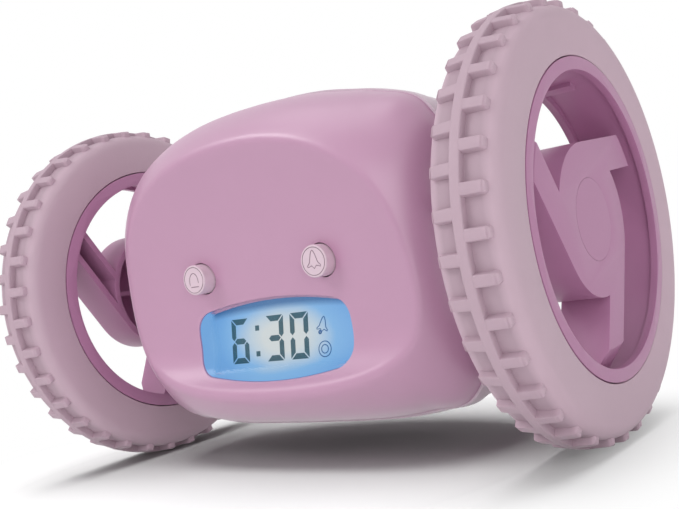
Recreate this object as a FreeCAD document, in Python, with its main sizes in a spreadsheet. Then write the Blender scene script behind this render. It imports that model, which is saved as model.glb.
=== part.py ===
import FreeCAD, Part
import Sketcher
import math
import os
import re
from FreeCAD import Placement, Rotation, Vector

# Runaway alarm clock: a scooped barrel between two toothed wheels, each with its own gear train.
# Frame: millimetres, +Z up, X along the axles, the face looks along -Y.  The origin is on the floor
# midway between the wheels.  Right-hand pieces are modelled; the left-hand ones mirror them.

SIZES = {
    # wheels
    "wheel_span": (136, "over the outer faces of both wheels"),
    "tyre_radius": (43, "over the lugs"),
    "tyre_width": (13.5, "wheel width"),
    "tread_floor": (42, "radius between the lugs"),
    "tyre_shoulder": (3.2, "rounding of the tyre's shoulders"),
    "tyre_relief": (0.35, "bevel beside the rim"),
    "crown_width": (2.0, "rib round the middle of the tread"),
    "lug_count": (36, "lugs in each of the two rows"),
    "lug_tip": (2.3, "lug width at its tip"),
    "lug_foot": (2.9, "lug width at the tread floor"),
    "lug_inset": (1.6, "from the tyre's face to the lugs"),
    "lug_bevel": (0.8, "bevel on the outer end of each lug"),
    "lug_turn": (-0.8, "degrees that the outer row is turned"),
    "rim_radius": (31, "seat of the tyre"),
    "rim_wall": (1.6, "barrel of the rim"),
    "rim_lip": (2.5, "height of the outer lip"),
    "rim_back_lip": (2.95, "height of the inner lip"),
    "rim_lip_width": (1.5, "width of both lips"),
    "rim_key_width": (2.3, "small rib inside the barrel"),
    "rim_key_height": (0.9, "height of that rib"),
    "rim_key_length": (7, "length of that rib"),
    "rim_key_angle": (70, "degrees from the rear of the clock"),
    "face_recess": (1.7, "hub and arms behind the outer face"),
    "spider_depth": (10.1, "depth of hub and arms"),
    "hub_radius": (15, "hub"),
    "hub_wall": (1.5, "side wall of the hub"),
    "hub_floor": (2.2, "face of the hub"),
    "hub_boss_radius": (3.5, "boss on the axle"),
    "hub_boss_reach": (0.7, "boss past the back of the hub wall"),
    "hub_rib_count": (6, "ribs between boss and hub wall"),
    "hub_rib_width": (1.2, "their thickness"),
    "hub_rib_depth": (4.5, "their depth"),
    "arm_width": (6.8, "arms, tangent to the hub"),
    "arm_wall": (1.5, "side walls of the arms"),
    "arm_floor": (1.6, "face of the arms"),
    "arm_tilt": (4.4, "degrees above level of the first arm"),
    "arm_bend_radius": (24.8, "where the arms' face starts to drop"),
    "arm_drop": (3, "how far it drops at the barrel"),
    "cap_radius": (8, "disc in the hub"),
    "cap_thick": (1.0, "thickness of the disc"),
    "cap_gap": (0.06, "clearance round the disc"),
    "wheel_screw_radius": (1.0, "shank of the wheel screw"),
    "wheel_screw_length": (6, "length of its shank"),
    "wheel_head_radius": (1.9, "head of the wheel screw"),
    "wheel_head_height": (1.3, "height of its head"),
    "wheel_head_gap": (0.2, "clearance round and over the head"),
    "wheel_clamp": (1.6, "boss between screw head and axle end"),
    # drive
    "running_gap": (0.04, "radial clearance of turning fits"),
    "axle_radius": (1.5, "steel axle"),
    "module_size": (0.5, "gear module"),
    "backlash": (0.16, "thinning of each tooth"),
    "pressure_angle": (20, "degrees, of all gears"),
    "tooth_crest": (0.9, "teeth above the pitch circle, in modules"),
    "tooth_root": (1.25, "teeth below the pitch circle, in modules"),
    "pinion_teeth": (9, "on the motor shaft"),
    "cluster_teeth": (36, "large gear of the cluster"),
    "step_teeth": (10, "small gear of the cluster"),
    "output_teeth": (36, "gear on the axle"),
    "cluster_angle": (50, "degrees above level of the cluster, seen from the axle"),
    "motor_side": (0.16, "motor axis behind the axle"),
    "cluster_pin_radius": (0.75, "steel pin"),
    "stage_width": (2.0, "face width of pinion and large cluster gear"),
    "output_width": (3.0, "face width of the output gear"),
    "stage_gap": (0.5, "between the two gear layers"),
    "gear_gap": (0.8, "between gears and gearbox plates"),
    "gear_hub": (0.5, "radial wall of the output gear's hub"),
    "plate_thick": (1.6, "gearbox plates"),
    "plate_radius": (14.5, "round part of the plates"),
    "plate_margin": (1.2, "plate beyond the motor"),
    "plate_ear": (4.8, "plate beyond the cluster's pin"),
    "standoff_radius": (2.0, "gearbox standoffs"),
    "standoff_circle": (12.3, "their distance from the axle"),
    "standoff_top": (135, "degrees from the rear to the upper standoff"),
    "standoff_front": (215, "degrees from the rear to the front standoff"),
    "standoff_foot": (322, "degrees from the rear to the lower standoff"),
    "bush_radius": (3.0, "outside of the bush"),
    "bush_flange": (0.5, "thickness of its flange"),
    "bush_flange_radius": (4.0, "radius of its flange"),
    "bush_reach": (1.0, "bush past the side boss"),
    "motor_radius": (10, "motor can"),
    "motor_flats": (15, "across its flats"),
    "motor_length": (25, "length of the can"),
    "motor_gap": (11, "between the two motors"),
    "motor_boss_radius": (3, "bearing bosses"),
    "motor_boss": (1.4, "their length"),
    "shaft_radius": (1.0, "motor shaft"),
    "shaft_depth": (9, "shaft inside the motor"),
    "tab_width": (2.4, "motor terminals"),
    "tab_thick": (0.5, "their thickness"),
    "tab_length": (2.5, "their length"),
    "tab_side": (7, "terminals from the motor's axis"),
    # casing
    "case_half": (46.3, "half-length of the barrel's outline"),
    "case_deep": (34.4, "half-depth"),
    "case_high": (36.7, "half-height"),
    "case_back": (0.5, "barrel's centre behind the axle"),
    "case_rise": (0.8, "barrel's centre above the axle"),
    "section_power": (3.1, "squareness of the cross-section"),
    "foot_power": (2.6, "squareness of its lower front quarter"),
    "end_power": (1.85, "exponent along the barrel of its depth"),
    "bulge_power": (4.3, "exponent across the barrel of its depth"),
    "crown_end_power": (2.55, "exponent along the barrel of its upper outline"),
    "crown_bulge_power": (2.75, "exponent across the barrel of its upper outline"),
    "keel_end_power": (5, "exponent along the barrel of its lower outline"),
    "keel_bulge_power": (4.2, "exponent across the barrel of its lower outline"),
    "section_step": (15, "degrees between the points of a cross-section"),
    "station_step": (10, "degrees between the barrel's cross-sections"),
    "station_end": (80, "degrees from the middle to its last cross-section"),
    "case_wall": (2.2, "casing wall"),
    "scoop_front": (20.6, "deepest line of the face in front of the axle"),
    "scoop_drop": (14.2, "that line below the axle"),
    "scoop_top_radius": (108, "face above that line"),
    "scoop_top_sweep": (30, "degrees that the upper part turns through"),
    "scoop_foot_radius": (13, "face below that line"),
    "scoop_foot_sweep": (80, "degrees that the lower part turns through"),
    "scoop_side_radius": (225, "hollow of the face from side to side"),
    "scoop_side_sweep": (15, "degrees of that hollow on each side"),
    "crease_radius": (2.5, "rounding where face and barrel meet"),
    "seam_front": (9.9, "seam in front of the axle"),
    "seam_lip": (1.8, "overlap of the two casings at the seam"),
    "seam_gap": (0.12, "clearance of that overlap"),
    "side_boss_radius": (7, "bosses round the axles"),
    "side_boss_reach": (52, "end of the bosses from the middle"),
    "case_post_radius": (2.6, "posts of the case screws"),
    "case_sleeve_radius": (3.6, "sleeves of the case screws"),
    "top_post_side": (20, "upper posts from the middle"),
    "top_post_rise": (29, "upper posts above the axle"),
    "foot_post_side": (33.6, "lower posts from the middle"),
    "foot_post_drop": (18.6, "lower posts below the axle"),
    "case_screw_radius": (1.25, "case screws"),
    "case_screw_length": (12, "their shank"),
    "case_head_radius": (2.3, "their heads"),
    "case_head_height": (1.6, "height of the heads"),
    "screw_gap": (0.15, "clearance round shanks and heads"),
    "case_screw_floor": (4, "sleeve under the heads"),
    # display
    "window_half": (21.7, "half-width of the window"),
    "window_height": (17.7, "height of the window"),
    "window_drop": (14.4, "its middle below the axle"),
    "window_crown": (2.3, "rise of its upper and lower edge"),
    "window_bulge": (0.5, "bulge of its ends"),
    "window_corner": (4.8, "its corners"),
    "lens_recess": (0.3, "lens behind the face"),
    "lens_thick": (1.1, "lens"),
    "lens_gap": (0.1, "clearance round the lens"),
    "lens_ledge": (0.6, "ledge that the lens sits on"),
    "glass_front": (18.4, "front of the display glass before the axle"),
    "glass_half": (26, "half-width of the glass"),
    "glass_height": (18.6, "height of the glass"),
    "glass_thick": (2.0, "thickness of the glass"),
    "guide_thick": (2.2, "light guide"),
    "connector_width": (2.2, "contact strips above and below the light guide"),
    "frame_wall": (1.0, "display frame"),
    "board_thick": (1.6, "circuit boards"),
    "board_half": (29.4, "half-width of the main board"),
    "board_top": (8.6, "top of the main board above the axle"),
    "board_waist": (20, "where the main board narrows, below the axle"),
    "board_foot": (30.4, "bottom of the main board below the axle"),
    "board_foot_half": (18, "half-width of the main board's bottom"),
    "board_post_radius": (2.0, "board posts"),
    "board_screw_radius": (0.9, "board screws"),
    "board_screw_length": (5, "their shank"),
    "board_head_radius": (1.7, "their heads"),
    "board_head_height": (1.2, "height of the heads"),
    "board_screw_side": (25, "upper board screws from the middle"),
    "board_screw_rise": (5.8, "upper board screws above the axle"),
    "board_foot_side": (14, "lower board screws from the middle"),
    "board_foot_drop": (28.2, "lower board screws below the axle"),
    # buttons
    "button_side": (17.2, "buttons from the middle"),
    "button_rise": (0.5, "buttons above the axle"),
    "button_radius": (3.35, "buttons"),
    "button_gap": (0.25, "clearance round the buttons"),
    "button_seat": (19.4, "front of the buttons' flanges before the axle"),
    "button_front": (25.2, "front of the buttons before the axle"),
    "button_travel": (1.0, "stroke"),
    "button_edge": (0.4, "rounding of the buttons"),
    "button_flange": (1.1, "flange wider than the button"),
    "button_flange_thick": (1.0, "its thickness"),
    "button_stem": (1.5, "stem radius"),
    "switch_side": (6, "push switches"),
    "switch_height": (1.6, "their height"),
    "switch_clear": (0.2, "switch top to a pressed stem"),
    # rear keys
    "key_side": (9, "keys from the middle"),
    "key_rise": (22, "keys above the axle"),
    "key_radius": (2.0, "keys"),
    "key_gap": (0.2, "clearance round the keys"),
    "key_reach": (33.4, "end of the keys behind the axle"),
    "key_seat": (30.3, "inner seat of the keys behind the axle"),
    "key_flange": (1.0, "flange wider than the key"),
    "key_flange_thick": (0.9, "its thickness"),
    "key_travel": (0.8, "stroke"),
    "key_switch_side": (4, "switches behind the keys"),
    "key_switch_height": (1.8, "their height"),
    "key_board_half": (17, "half-width of the key board"),
    "key_board_height": (6.6, "height of the key board"),
    "key_screw_side": (14.6, "key board screws from the middle"),
    # sounder
    "speaker_radius": (10, "sounder"),
    "speaker_height": (3.6, "its height"),
    "speaker_back": (3.8, "its middle behind the axle"),
    "speaker_drop": (32.2, "its lower face below the axle"),
    "speaker_wall": (1.2, "ring round the sounder"),
    "slot_count": (5, "sound slots"),
    "slot_width": (1.2, "their width"),
    "slot_pitch": (3.0, "their spacing"),
    "slot_length": (13, "length of the middle slot"),
    # cells
    "cell_radius": (5.25, "cells"),
    "cell_length": (44.5, "over the nub"),
    "nub_radius": (1.9, "cell nub"),
    "nub_length": (0.8, "its length"),
    "cell_pitch": (11.2, "spacing of the cells"),
    "cell_count": (4, "cells in the row"),
    "cell_gap": (0.15, "clearance round a cell"),
    "row_back": (19.7, "middle of the row behind the axle"),
    "row_drop": (6.5, "middle of the row below the axle"),
    "row_tilt": (15, "degrees that the row leans"),
    "tray_wall": (1.2, "tray"),
    "spring_space": (3.6, "length of the contact springs"),
    "tray_open": (0.5, "edge of the tray below the cells' middle"),
    "contact_thick": (0.4, "flat contacts"),
    "contact_radius": (4.2, "flat contacts"),
    "spring_radius": (3.2, "wide end of the contact springs"),
    "spring_wire": (0.6, "wall of the contact springs"),
    "tray_rib": (1.5, "casing ribs beside the tray"),
    "tray_rib_front": (12, "front of those ribs behind the axle"),
    "tray_rib_top": (6, "top of those ribs above the axle"),
    "door_side": (0.4, "door wider than the bay of the cells, each side"),
    "door_up": (23.6, "upper edge of the door from the row's middle"),
    "door_down": (22.6, "hinge edge of the door from the row's middle"),
    "door_gap": (0.35, "gap round the door"),
    "door_slope": (0.16, "lean of the door's upper edge"),
}

doc = FreeCAD.newDocument("runaway_clock")
sheet = doc.addObject("Spreadsheet::Sheet", "sizes")
for row, (alias, (amount, note)) in enumerate(SIZES.items(), start=1):
    sheet.set(f"A{row}", alias)
    sheet.set(f"B{row}", str(amount))
    sheet.setAlias(f"B{row}", alias)
    sheet.set(f"C{row}", note)
doc.recompute()

NODES = []
DERIVED = {
    "motor_face": "(motor_gap / 2 + motor_length)",
    "plate_face": "(motor_face + plate_thick)",
    "stage_start": "(plate_face + gear_gap)",
    "output_start": "(stage_start + stage_width + stage_gap)",
    "cover_start": "(output_start + output_width + gear_gap)",
    "wheel_start": "(wheel_span / 2 - tyre_width)",
    "hub_face": "(tyre_width - face_recess)",
    "hub_back": "(hub_face - spider_depth)",
    "axle_stop": "(hub_face - cap_thick - wheel_head_height - wheel_head_gap - wheel_clamp)",
    "step_reach": "(module_size * (output_teeth + step_teeth) / 2)",
    "cluster_y": "(step_reach * cos(cluster_angle * 1deg))",
    "cluster_z": "(step_reach * sin(cluster_angle * 1deg))",
    "pinion_reach": "(module_size * (cluster_teeth + pinion_teeth) / 2)",
    "motor_z": "(cluster_z + sqrt(pinion_reach ^ 2 - (cluster_y - motor_side) ^ 2))",
    "board_front": "(glass_front - glass_thick - guide_thick)",
    "bay_half": "((cell_length + spring_space + contact_thick) / 2)",
    "tray_half": "(bay_half + tray_wall)",
    "door_half": "(bay_half + door_side)",
    "key_board_back": "(key_seat - key_flange_thick - key_travel - switch_clear - key_switch_height)",
}


def formula(text):
    """Expression text with every derived length and cell name written out."""
    names = re.compile(r"[a-z]\w*")
    while any(word in DERIVED for word in names.findall(text)):
        text = names.sub(lambda word: DERIVED.get(word[0], word[0]), text)
    return names.sub(lambda word: "sizes." + word[0] if word[0] in SIZES else word[0], text)


def number(text):
    """Value of an expression text, in millimetres or degrees."""
    result = sheet.evalExpression(formula(text))
    return float(getattr(result, "Value", result))


def bind(item, **rules):
    """Tie properties of an object to the sheet; a double underscore stands for a dot."""
    for path, text in rules.items():
        item.setExpression(path.replace("__", "."), formula(text))


def place(item, x="0", y="0", z="0", rotation=Rotation()):
    """Put an object at a point given from the axle's line at mid-width."""
    item.Placement = Placement(Vector(), rotation)
    bind(item, Placement__Base__x=x, Placement__Base__y=y, Placement__Base__z=f"tyre_radius + {z}")


def node(item, name):
    """Name an object as a sub-part of the clock."""
    item.Label = name
    NODES.append(item)
    return item


def new_body(name):
    body = doc.addObject("PartDesign::Body", name)
    return node(body, name)


def new_sketch(body, role, offset="0", turn="0"):
    """Sketch on one of the body's origin planes, moved along its normal and turned in it."""
    sketch = body.newObject("Sketcher::SketchObject", "sketch")
    plane = next(item for item in body.Origin.OriginFeatures if item.Role == role)
    sketch.AttachmentSupport = (plane, [""])
    sketch.MapMode = "FlatFace"
    sketch.AttachmentOffset = Placement(Vector(), Rotation(Vector(0, 0, 1), 0))
    bind(sketch, AttachmentOffset__Base__z=offset, AttachmentOffset__Rotation__Angle=f"({turn}) * 1deg")
    return sketch


def fix_point(sketch, item, point, corner):
    """Tie one point of a sketch to two expression texts."""
    for kind, text in zip(("DistanceX", "DistanceY"), corner):
        index = sketch.addConstraint(Sketcher.Constraint(kind, item, point, number(text)))
        sketch.setExpression(f"Constraints[{index}]", formula(text))


def outline(sketch, corners):
    """Closed line of corners, each tied to the sheet."""
    first = sketch.GeometryCount
    places = [Vector(number(across), number(up), 0) for across, up in corners]
    count = len(places)
    for index in range(count):
        sketch.addGeometry(Part.LineSegment(places[index], places[(index + 1) % count]), False)
    for index in range(count):
        after = first + (index + 1) % count
        sketch.addConstraint(Sketcher.Constraint("Coincident", first + index, 2, after, 1))
        fix_point(sketch, first + index, 1, corners[index])
    return sketch


def rectangle(sketch, left, low, right, high):
    return outline(sketch, [(left, low), (right, low), (right, high), (left, high)])


def circle(sketch, radius, centre=("0", "0")):
    item = sketch.GeometryCount
    middle = Vector(number(centre[0]), number(centre[1]), 0)
    sketch.addGeometry(Part.Circle(middle, Vector(0, 0, 1), number(radius)), False)
    fix_point(sketch, item, 3, centre)
    index = sketch.addConstraint(Sketcher.Constraint("Radius", item, number(radius)))
    sketch.setExpression(f"Constraints[{index}]", formula(radius))
    return sketch


def pad(body, sketch, length):
    feature = body.newObject("PartDesign::Pad", "pad")
    feature.Profile = sketch
    bind(feature, Length=length)
    return feature


def pocket(body, sketch, length, forward=False):
    """Cut against the sketch's normal, or along it."""
    feature = body.newObject("PartDesign::Pocket", "pocket")
    feature.Profile = sketch
    feature.Reversed = forward
    bind(feature, Length=length)
    return feature


def revolve(body, corners, cut=False):
    """Section in the XY plane, X along the axis, turned about X."""
    sketch = outline(new_sketch(body, "XY_Plane"), corners)
    feature = body.newObject("PartDesign::Groove" if cut else "PartDesign::Revolution", "turned")
    feature.Profile = sketch
    feature.ReferenceAxis = (sketch, ["H_Axis"])
    feature.Angle = 360
    return feature


def ring_pattern(body, features, count):
    """Copies about the body's X axis."""
    pattern = body.newObject("PartDesign::PolarPattern", "pattern")
    pattern.Originals = features
    pattern.Axis = (next(item for item in body.Origin.OriginFeatures if item.Role == "X_Axis"), [""])
    pattern.Angle = 360
    bind(pattern, Occurrences=count)
    body.Tip = pattern
    return pattern


def turned_body(name, corners):
    body = new_body(name)
    revolve(body, corners)
    return body


def shape_node(name, shape):
    """Sub-part whose form only Part's own functions make."""
    item = doc.addObject("Part::Feature", name)
    item.Shape = shape
    return node(item, name)


def cylinder(radius, start, end, centre=(0, 0), axis="x"):
    """Round bar along X, Y or Z between two positions; centre holds the two other coordinates."""
    along = {"x": Vector(1, 0, 0), "y": Vector(0, 1, 0), "z": Vector(0, 0, 1)}[axis]
    first, second = centre
    foot = {"x": Vector(start, first, second), "y": Vector(first, start, second),
            "z": Vector(first, second, start)}[axis]
    return Part.makeCylinder(radius, end - start, foot, along)


def block(low, high):
    return Part.makeBox(high[0] - low[0], high[1] - low[1], high[2] - low[2], Vector(*low))


REARWARD = Rotation(Vector(0, 0, 1), 90)
FORWARD = Rotation(Vector(0, 0, 1), -90)


# ---------------------------------------------------------------- wheel

def make_rim():
    rim = new_body("right_rim")
    inside = "rim_radius - rim_wall"
    revolve(rim, [
        ("0", "rim_radius"), ("tyre_width", "rim_radius"), ("tyre_width", "rim_radius - rim_lip"),
        ("tyre_width - rim_lip_width", "rim_radius - rim_lip"), ("tyre_width - rim_lip_width", inside),
        ("rim_lip_width", inside), ("rim_lip_width", "rim_radius - rim_back_lip"),
        ("0", "rim_radius - rim_back_lip")])

    low = "(hub_radius - arm_width)"
    reach = "sqrt((rim_radius - rim_wall / 2) ^ 2 - {} ^ 2)"
    sketch = new_sketch(rim, "YZ_Plane", "hub_back", "arm_tilt")
    outline(sketch, [("0", low), (reach.format(low), low),
                     (reach.format("hub_radius"), "hub_radius"), ("0", "hub_radius")])
    ring_pattern(rim, [pad(rim, sketch, "spider_depth")], "3")
    revolve(rim, [("hub_face", "arm_bend_radius"), ("hub_face", inside), ("hub_face - arm_drop", inside)],
            cut=True)

    low = "(hub_radius - arm_width + arm_wall)"
    high = "(hub_radius - arm_wall)"
    bend = "sqrt(arm_bend_radius ^ 2 - {} ^ 2)"
    wall = "sqrt((rim_radius - rim_wall) ^ 2 - {} ^ 2)"
    sketch = new_sketch(rim, "YZ_Plane", "hub_back", "arm_tilt")
    outline(sketch, [("0", low), (bend.format(low), low), (bend.format(high), high), ("0", high)])
    channel = pocket(rim, sketch, "spider_depth - arm_floor", forward=True)
    sketch = new_sketch(rim, "YZ_Plane", "hub_back", "arm_tilt")
    outline(sketch, [("hub_radius", low), (wall.format(low), low), (wall.format(high), high),
                     ("hub_radius", high)])
    channel_end = pocket(rim, sketch, "spider_depth - arm_floor - arm_drop", forward=True)
    ring_pattern(rim, [channel, channel_end], "3")

    pad(rim, circle(new_sketch(rim, "YZ_Plane", "hub_back"), "hub_radius"), "spider_depth")
    sketch = circle(new_sketch(rim, "YZ_Plane", "hub_back"), "hub_radius - hub_wall")
    pocket(rim, sketch, "spider_depth - hub_floor", forward=True)
    sketch = circle(new_sketch(rim, "YZ_Plane", "hub_back - hub_boss_reach"), "hub_boss_radius")
    pad(rim, sketch, "spider_depth - hub_floor + hub_boss_reach")
    sketch = new_sketch(rim, "YZ_Plane", "hub_face - hub_floor - hub_rib_depth")
    rectangle(sketch, "(axle_radius + hub_boss_radius) / 2", "-hub_rib_width / 2",
              "hub_radius - hub_wall / 2", "hub_rib_width / 2")
    ring_pattern(rim, [pad(rim, sketch, "hub_rib_depth")], "hub_rib_count")

    pocket(rim, circle(new_sketch(rim, "YZ_Plane", "hub_face"), "cap_radius + cap_gap"), "cap_thick")
    sketch = circle(new_sketch(rim, "YZ_Plane", "hub_face - cap_thick"), "wheel_head_radius + wheel_head_gap")
    pocket(rim, sketch, "wheel_head_height + wheel_head_gap")
    sketch = circle(new_sketch(rim, "YZ_Plane", "axle_stop + wheel_clamp"), "wheel_screw_radius")
    pocket(rim, sketch, "wheel_clamp")
    sketch = circle(new_sketch(rim, "YZ_Plane", "hub_back - hub_boss_reach"), "axle_radius")
    pocket(rim, sketch, "axle_stop - hub_back + hub_boss_reach", forward=True)

    sketch = new_sketch(rim, "YZ_Plane", "rim_lip_width / 2", "rim_key_angle")
    rectangle(sketch, "rim_radius - rim_wall - rim_key_height", "-rim_key_width / 2",
              "rim_radius - rim_wall / 2", "rim_key_width / 2")
    pad(rim, sketch, "rim_key_length")
    place(rim, "wheel_start")


def make_tyre():
    tyre = new_body("right_tyre")
    left = "tyre_width / 2 - crown_width / 2"
    right = "tyre_width / 2 + crown_width / 2"
    base = revolve(tyre, [
        ("tyre_relief", "rim_radius"), ("0", "rim_radius + tyre_relief"), ("0", "tread_floor"),
        (left, "tread_floor"), (left, "tyre_radius"), (right, "tyre_radius"), (right, "tread_floor"),
        ("tyre_width", "tread_floor"), ("tyre_width", "rim_radius + tyre_relief"),
        ("tyre_width - tyre_relief", "rim_radius")])
    doc.recompute()
    rims = [f"Edge{index}" for index, edge in enumerate(base.Shape.Edges, start=1)
            if isinstance(edge.Curve, Part.Circle)
            and abs(edge.Curve.Radius - sheet.tread_floor) < Part.Precision.confusion() * 10
            and abs(edge.Curve.Center.x - sheet.tyre_width / 2) > sheet.crown_width]
    shoulders = tyre.newObject("PartDesign::Fillet", "shoulders")
    shoulders.Base = (base, rims)
    bind(shoulders, Radius="tyre_shoulder")

    half_pitch = "180 / lug_count"
    root = "tread_floor - (tyre_radius - tread_floor) / 2"
    crest = "sqrt(tyre_radius ^ 2 - (lug_tip / 2) ^ 2)"
    for start, turn in (("tyre_width / 2", "lug_turn"), ("lug_inset", f"lug_turn - {half_pitch}")):
        sketch = new_sketch(tyre, "YZ_Plane", start, turn)
        outline(sketch, [("-lug_foot / 2", root), ("lug_foot / 2", root), ("lug_tip / 2", crest),
                         ("-lug_tip / 2", crest)])
        ring_pattern(tyre, [pad(tyre, sketch, "tyre_width / 2 - lug_inset")], "lug_count")
    for face, sign in (("lug_inset", "+"), ("(tyre_width - lug_inset)", "-")):
        revolve(tyre, [(f"{face} {sign} lug_bevel", "tyre_radius + lug_bevel"),
                       (f"{face} {sign} lug_bevel", "tyre_radius"),
                       (face, "tyre_radius - 2 * lug_bevel"),
                       (face, "tyre_radius + lug_bevel")], cut=True)
    place(tyre, "wheel_start")


def make_wheel_fixings():
    cap = turned_body("right_hub_cap", [("0", "0"), ("cap_thick", "0"), ("cap_thick", "cap_radius"),
                                        ("0", "cap_radius")])
    place(cap, "wheel_start + hub_face - cap_thick")
    screw = turned_body("right_wheel_screw", [
        ("-wheel_screw_length", "0"), ("wheel_head_height", "0"),
        ("wheel_head_height", "wheel_head_radius"), ("0", "wheel_head_radius"),
        ("0", "wheel_screw_radius"), ("-wheel_screw_length", "wheel_screw_radius")])
    place(screw, "wheel_start + axle_stop + wheel_clamp")


# ---------------------------------------------------------------- gear train

def gear(teeth, width, thin=1.0):
    """Spur gear along X with involute flanks, a tooth on +Y, thinned for backlash."""
    size = sheet.module_size
    pitch = size * teeth / 2
    base = pitch * math.cos(math.radians(sheet.pressure_angle))

    def involute(radius):
        angle = math.acos(min(1.0, base / radius))
        return math.tan(angle) - angle

    def half_angle(radius):
        half_tooth = (math.pi * size / 2 - thin * sheet.backlash) / 2 / pitch
        return half_tooth + involute(pitch) - involute(max(radius, base))

    flank = [pitch - sheet.tooth_root * size, pitch, pitch + sheet.tooth_crest * size]
    points = []
    for tooth in range(int(teeth)):
        middle = 2 * math.pi * tooth / teeth
        rising = [(radius, middle - half_angle(radius)) for radius in flank]
        falling = [(radius, middle + half_angle(radius)) for radius in reversed(flank)]
        for radius, angle in rising + falling:
            points.append(Vector(0, radius * math.cos(angle), radius * math.sin(angle)))
    face = Part.Face(Part.makePolygon(points + points[:1]))
    return face.extrude(Vector(width, 0, 0))


def meshed(driver_teeth, driver_turn, direction, teeth):
    """Turn of a gear, in degrees, that puts a tooth space on the driver's tooth."""
    phase = (direction - driver_turn) * driver_teeth / 360
    return direction + 180 - (0.5 - phase) * 360 / teeth


def make_gear_train():
    motor_direction = number("atan2(motor_z - cluster_z; motor_side - cluster_y)")
    step_turn = meshed(sheet.output_teeth, 0, sheet.cluster_angle, sheet.step_teeth)
    pinion_turn = meshed(sheet.cluster_teeth, step_turn, motor_direction, sheet.pinion_teeth)

    hub = cylinder(sheet.axle_radius + 2 * sheet.gear_hub, -sheet.gear_gap / 2, sheet.output_width)
    output = gear(sheet.output_teeth, sheet.output_width).fuse(hub)
    output = output.cut(cylinder(sheet.axle_radius, -sheet.gear_gap, sheet.output_width))
    place(shape_node("right_output_gear", output), "output_start")

    layer = sheet.stage_width + sheet.stage_gap
    small = gear(sheet.step_teeth, sheet.stage_gap + sheet.output_width)
    small.translate(Vector(sheet.stage_width, 0, 0))
    bore = cylinder(sheet.cluster_pin_radius + sheet.running_gap, 0, layer + sheet.output_width)
    cluster = gear(sheet.cluster_teeth, sheet.stage_width).fuse(small).cut(bore)
    place(shape_node("right_cluster_gear", cluster), "stage_start", "cluster_y", "cluster_z",
          Rotation(Vector(1, 0, 0), step_turn))
    pin = turned_body("right_cluster_pin", [
        ("0", "0"), ("cover_start + plate_thick - motor_face", "0"),
        ("cover_start + plate_thick - motor_face", "cluster_pin_radius"), ("0", "cluster_pin_radius")])
    place(pin, "motor_face", "cluster_y", "cluster_z")

    pinion = gear(sheet.pinion_teeth, sheet.stage_width)
    pinion = pinion.cut(cylinder(sheet.shaft_radius, 0, sheet.stage_width))
    pinion_node = shape_node("right_pinion", pinion)
    place(pinion_node, "stage_start", "motor_side", "motor_z", Rotation(Vector(1, 0, 0), pinion_turn))


def make_motor():
    motor = new_body("right_motor")
    pad(motor, circle(new_sketch(motor, "YZ_Plane", "-motor_length"), "motor_radius"), "motor_length")
    for low, high in (("motor_flats / 2", "motor_radius * 2"), ("-motor_radius * 2", "-motor_flats / 2")):
        sketch = rectangle(new_sketch(motor, "YZ_Plane"), "-motor_radius * 2", low, "motor_radius * 2", high)
        pocket(motor, sketch, "motor_length")
    pad(motor, circle(new_sketch(motor, "YZ_Plane"), "motor_boss_radius"), "motor_boss")
    sketch = circle(new_sketch(motor, "YZ_Plane", "-motor_length - motor_boss"), "motor_boss_radius")
    pad(motor, sketch, "motor_boss")
    for side in ("-", ""):
        middle = f"{side}tab_side"
        sketch = new_sketch(motor, "YZ_Plane", "-motor_length - tab_length")
        rectangle(sketch, f"{middle} - tab_thick / 2", "-tab_width / 2", f"{middle} + tab_thick / 2",
                  "tab_width / 2")
        pad(motor, sketch, "tab_length")
    sketch = circle(new_sketch(motor, "YZ_Plane", "motor_boss"), "shaft_radius + running_gap")
    pocket(motor, sketch, "motor_boss + shaft_depth")
    place(motor, "motor_face", "motor_side", "motor_z")

    shaft = turned_body("right_motor_shaft", [
        ("-shaft_depth", "0"), ("stage_start + stage_width - motor_face", "0"),
        ("stage_start + stage_width - motor_face", "shaft_radius"), ("-shaft_depth", "shaft_radius")])
    place(shaft, "motor_face", "motor_side", "motor_z")


def standoff_centres():
    """The three standoffs stand clear of both large gears and the motor."""
    return [(f"standoff_circle * cos({angle} * 1deg)", f"standoff_circle * sin({angle} * 1deg)")
            for angle in ("standoff_top", "standoff_front", "standoff_foot")]


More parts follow.
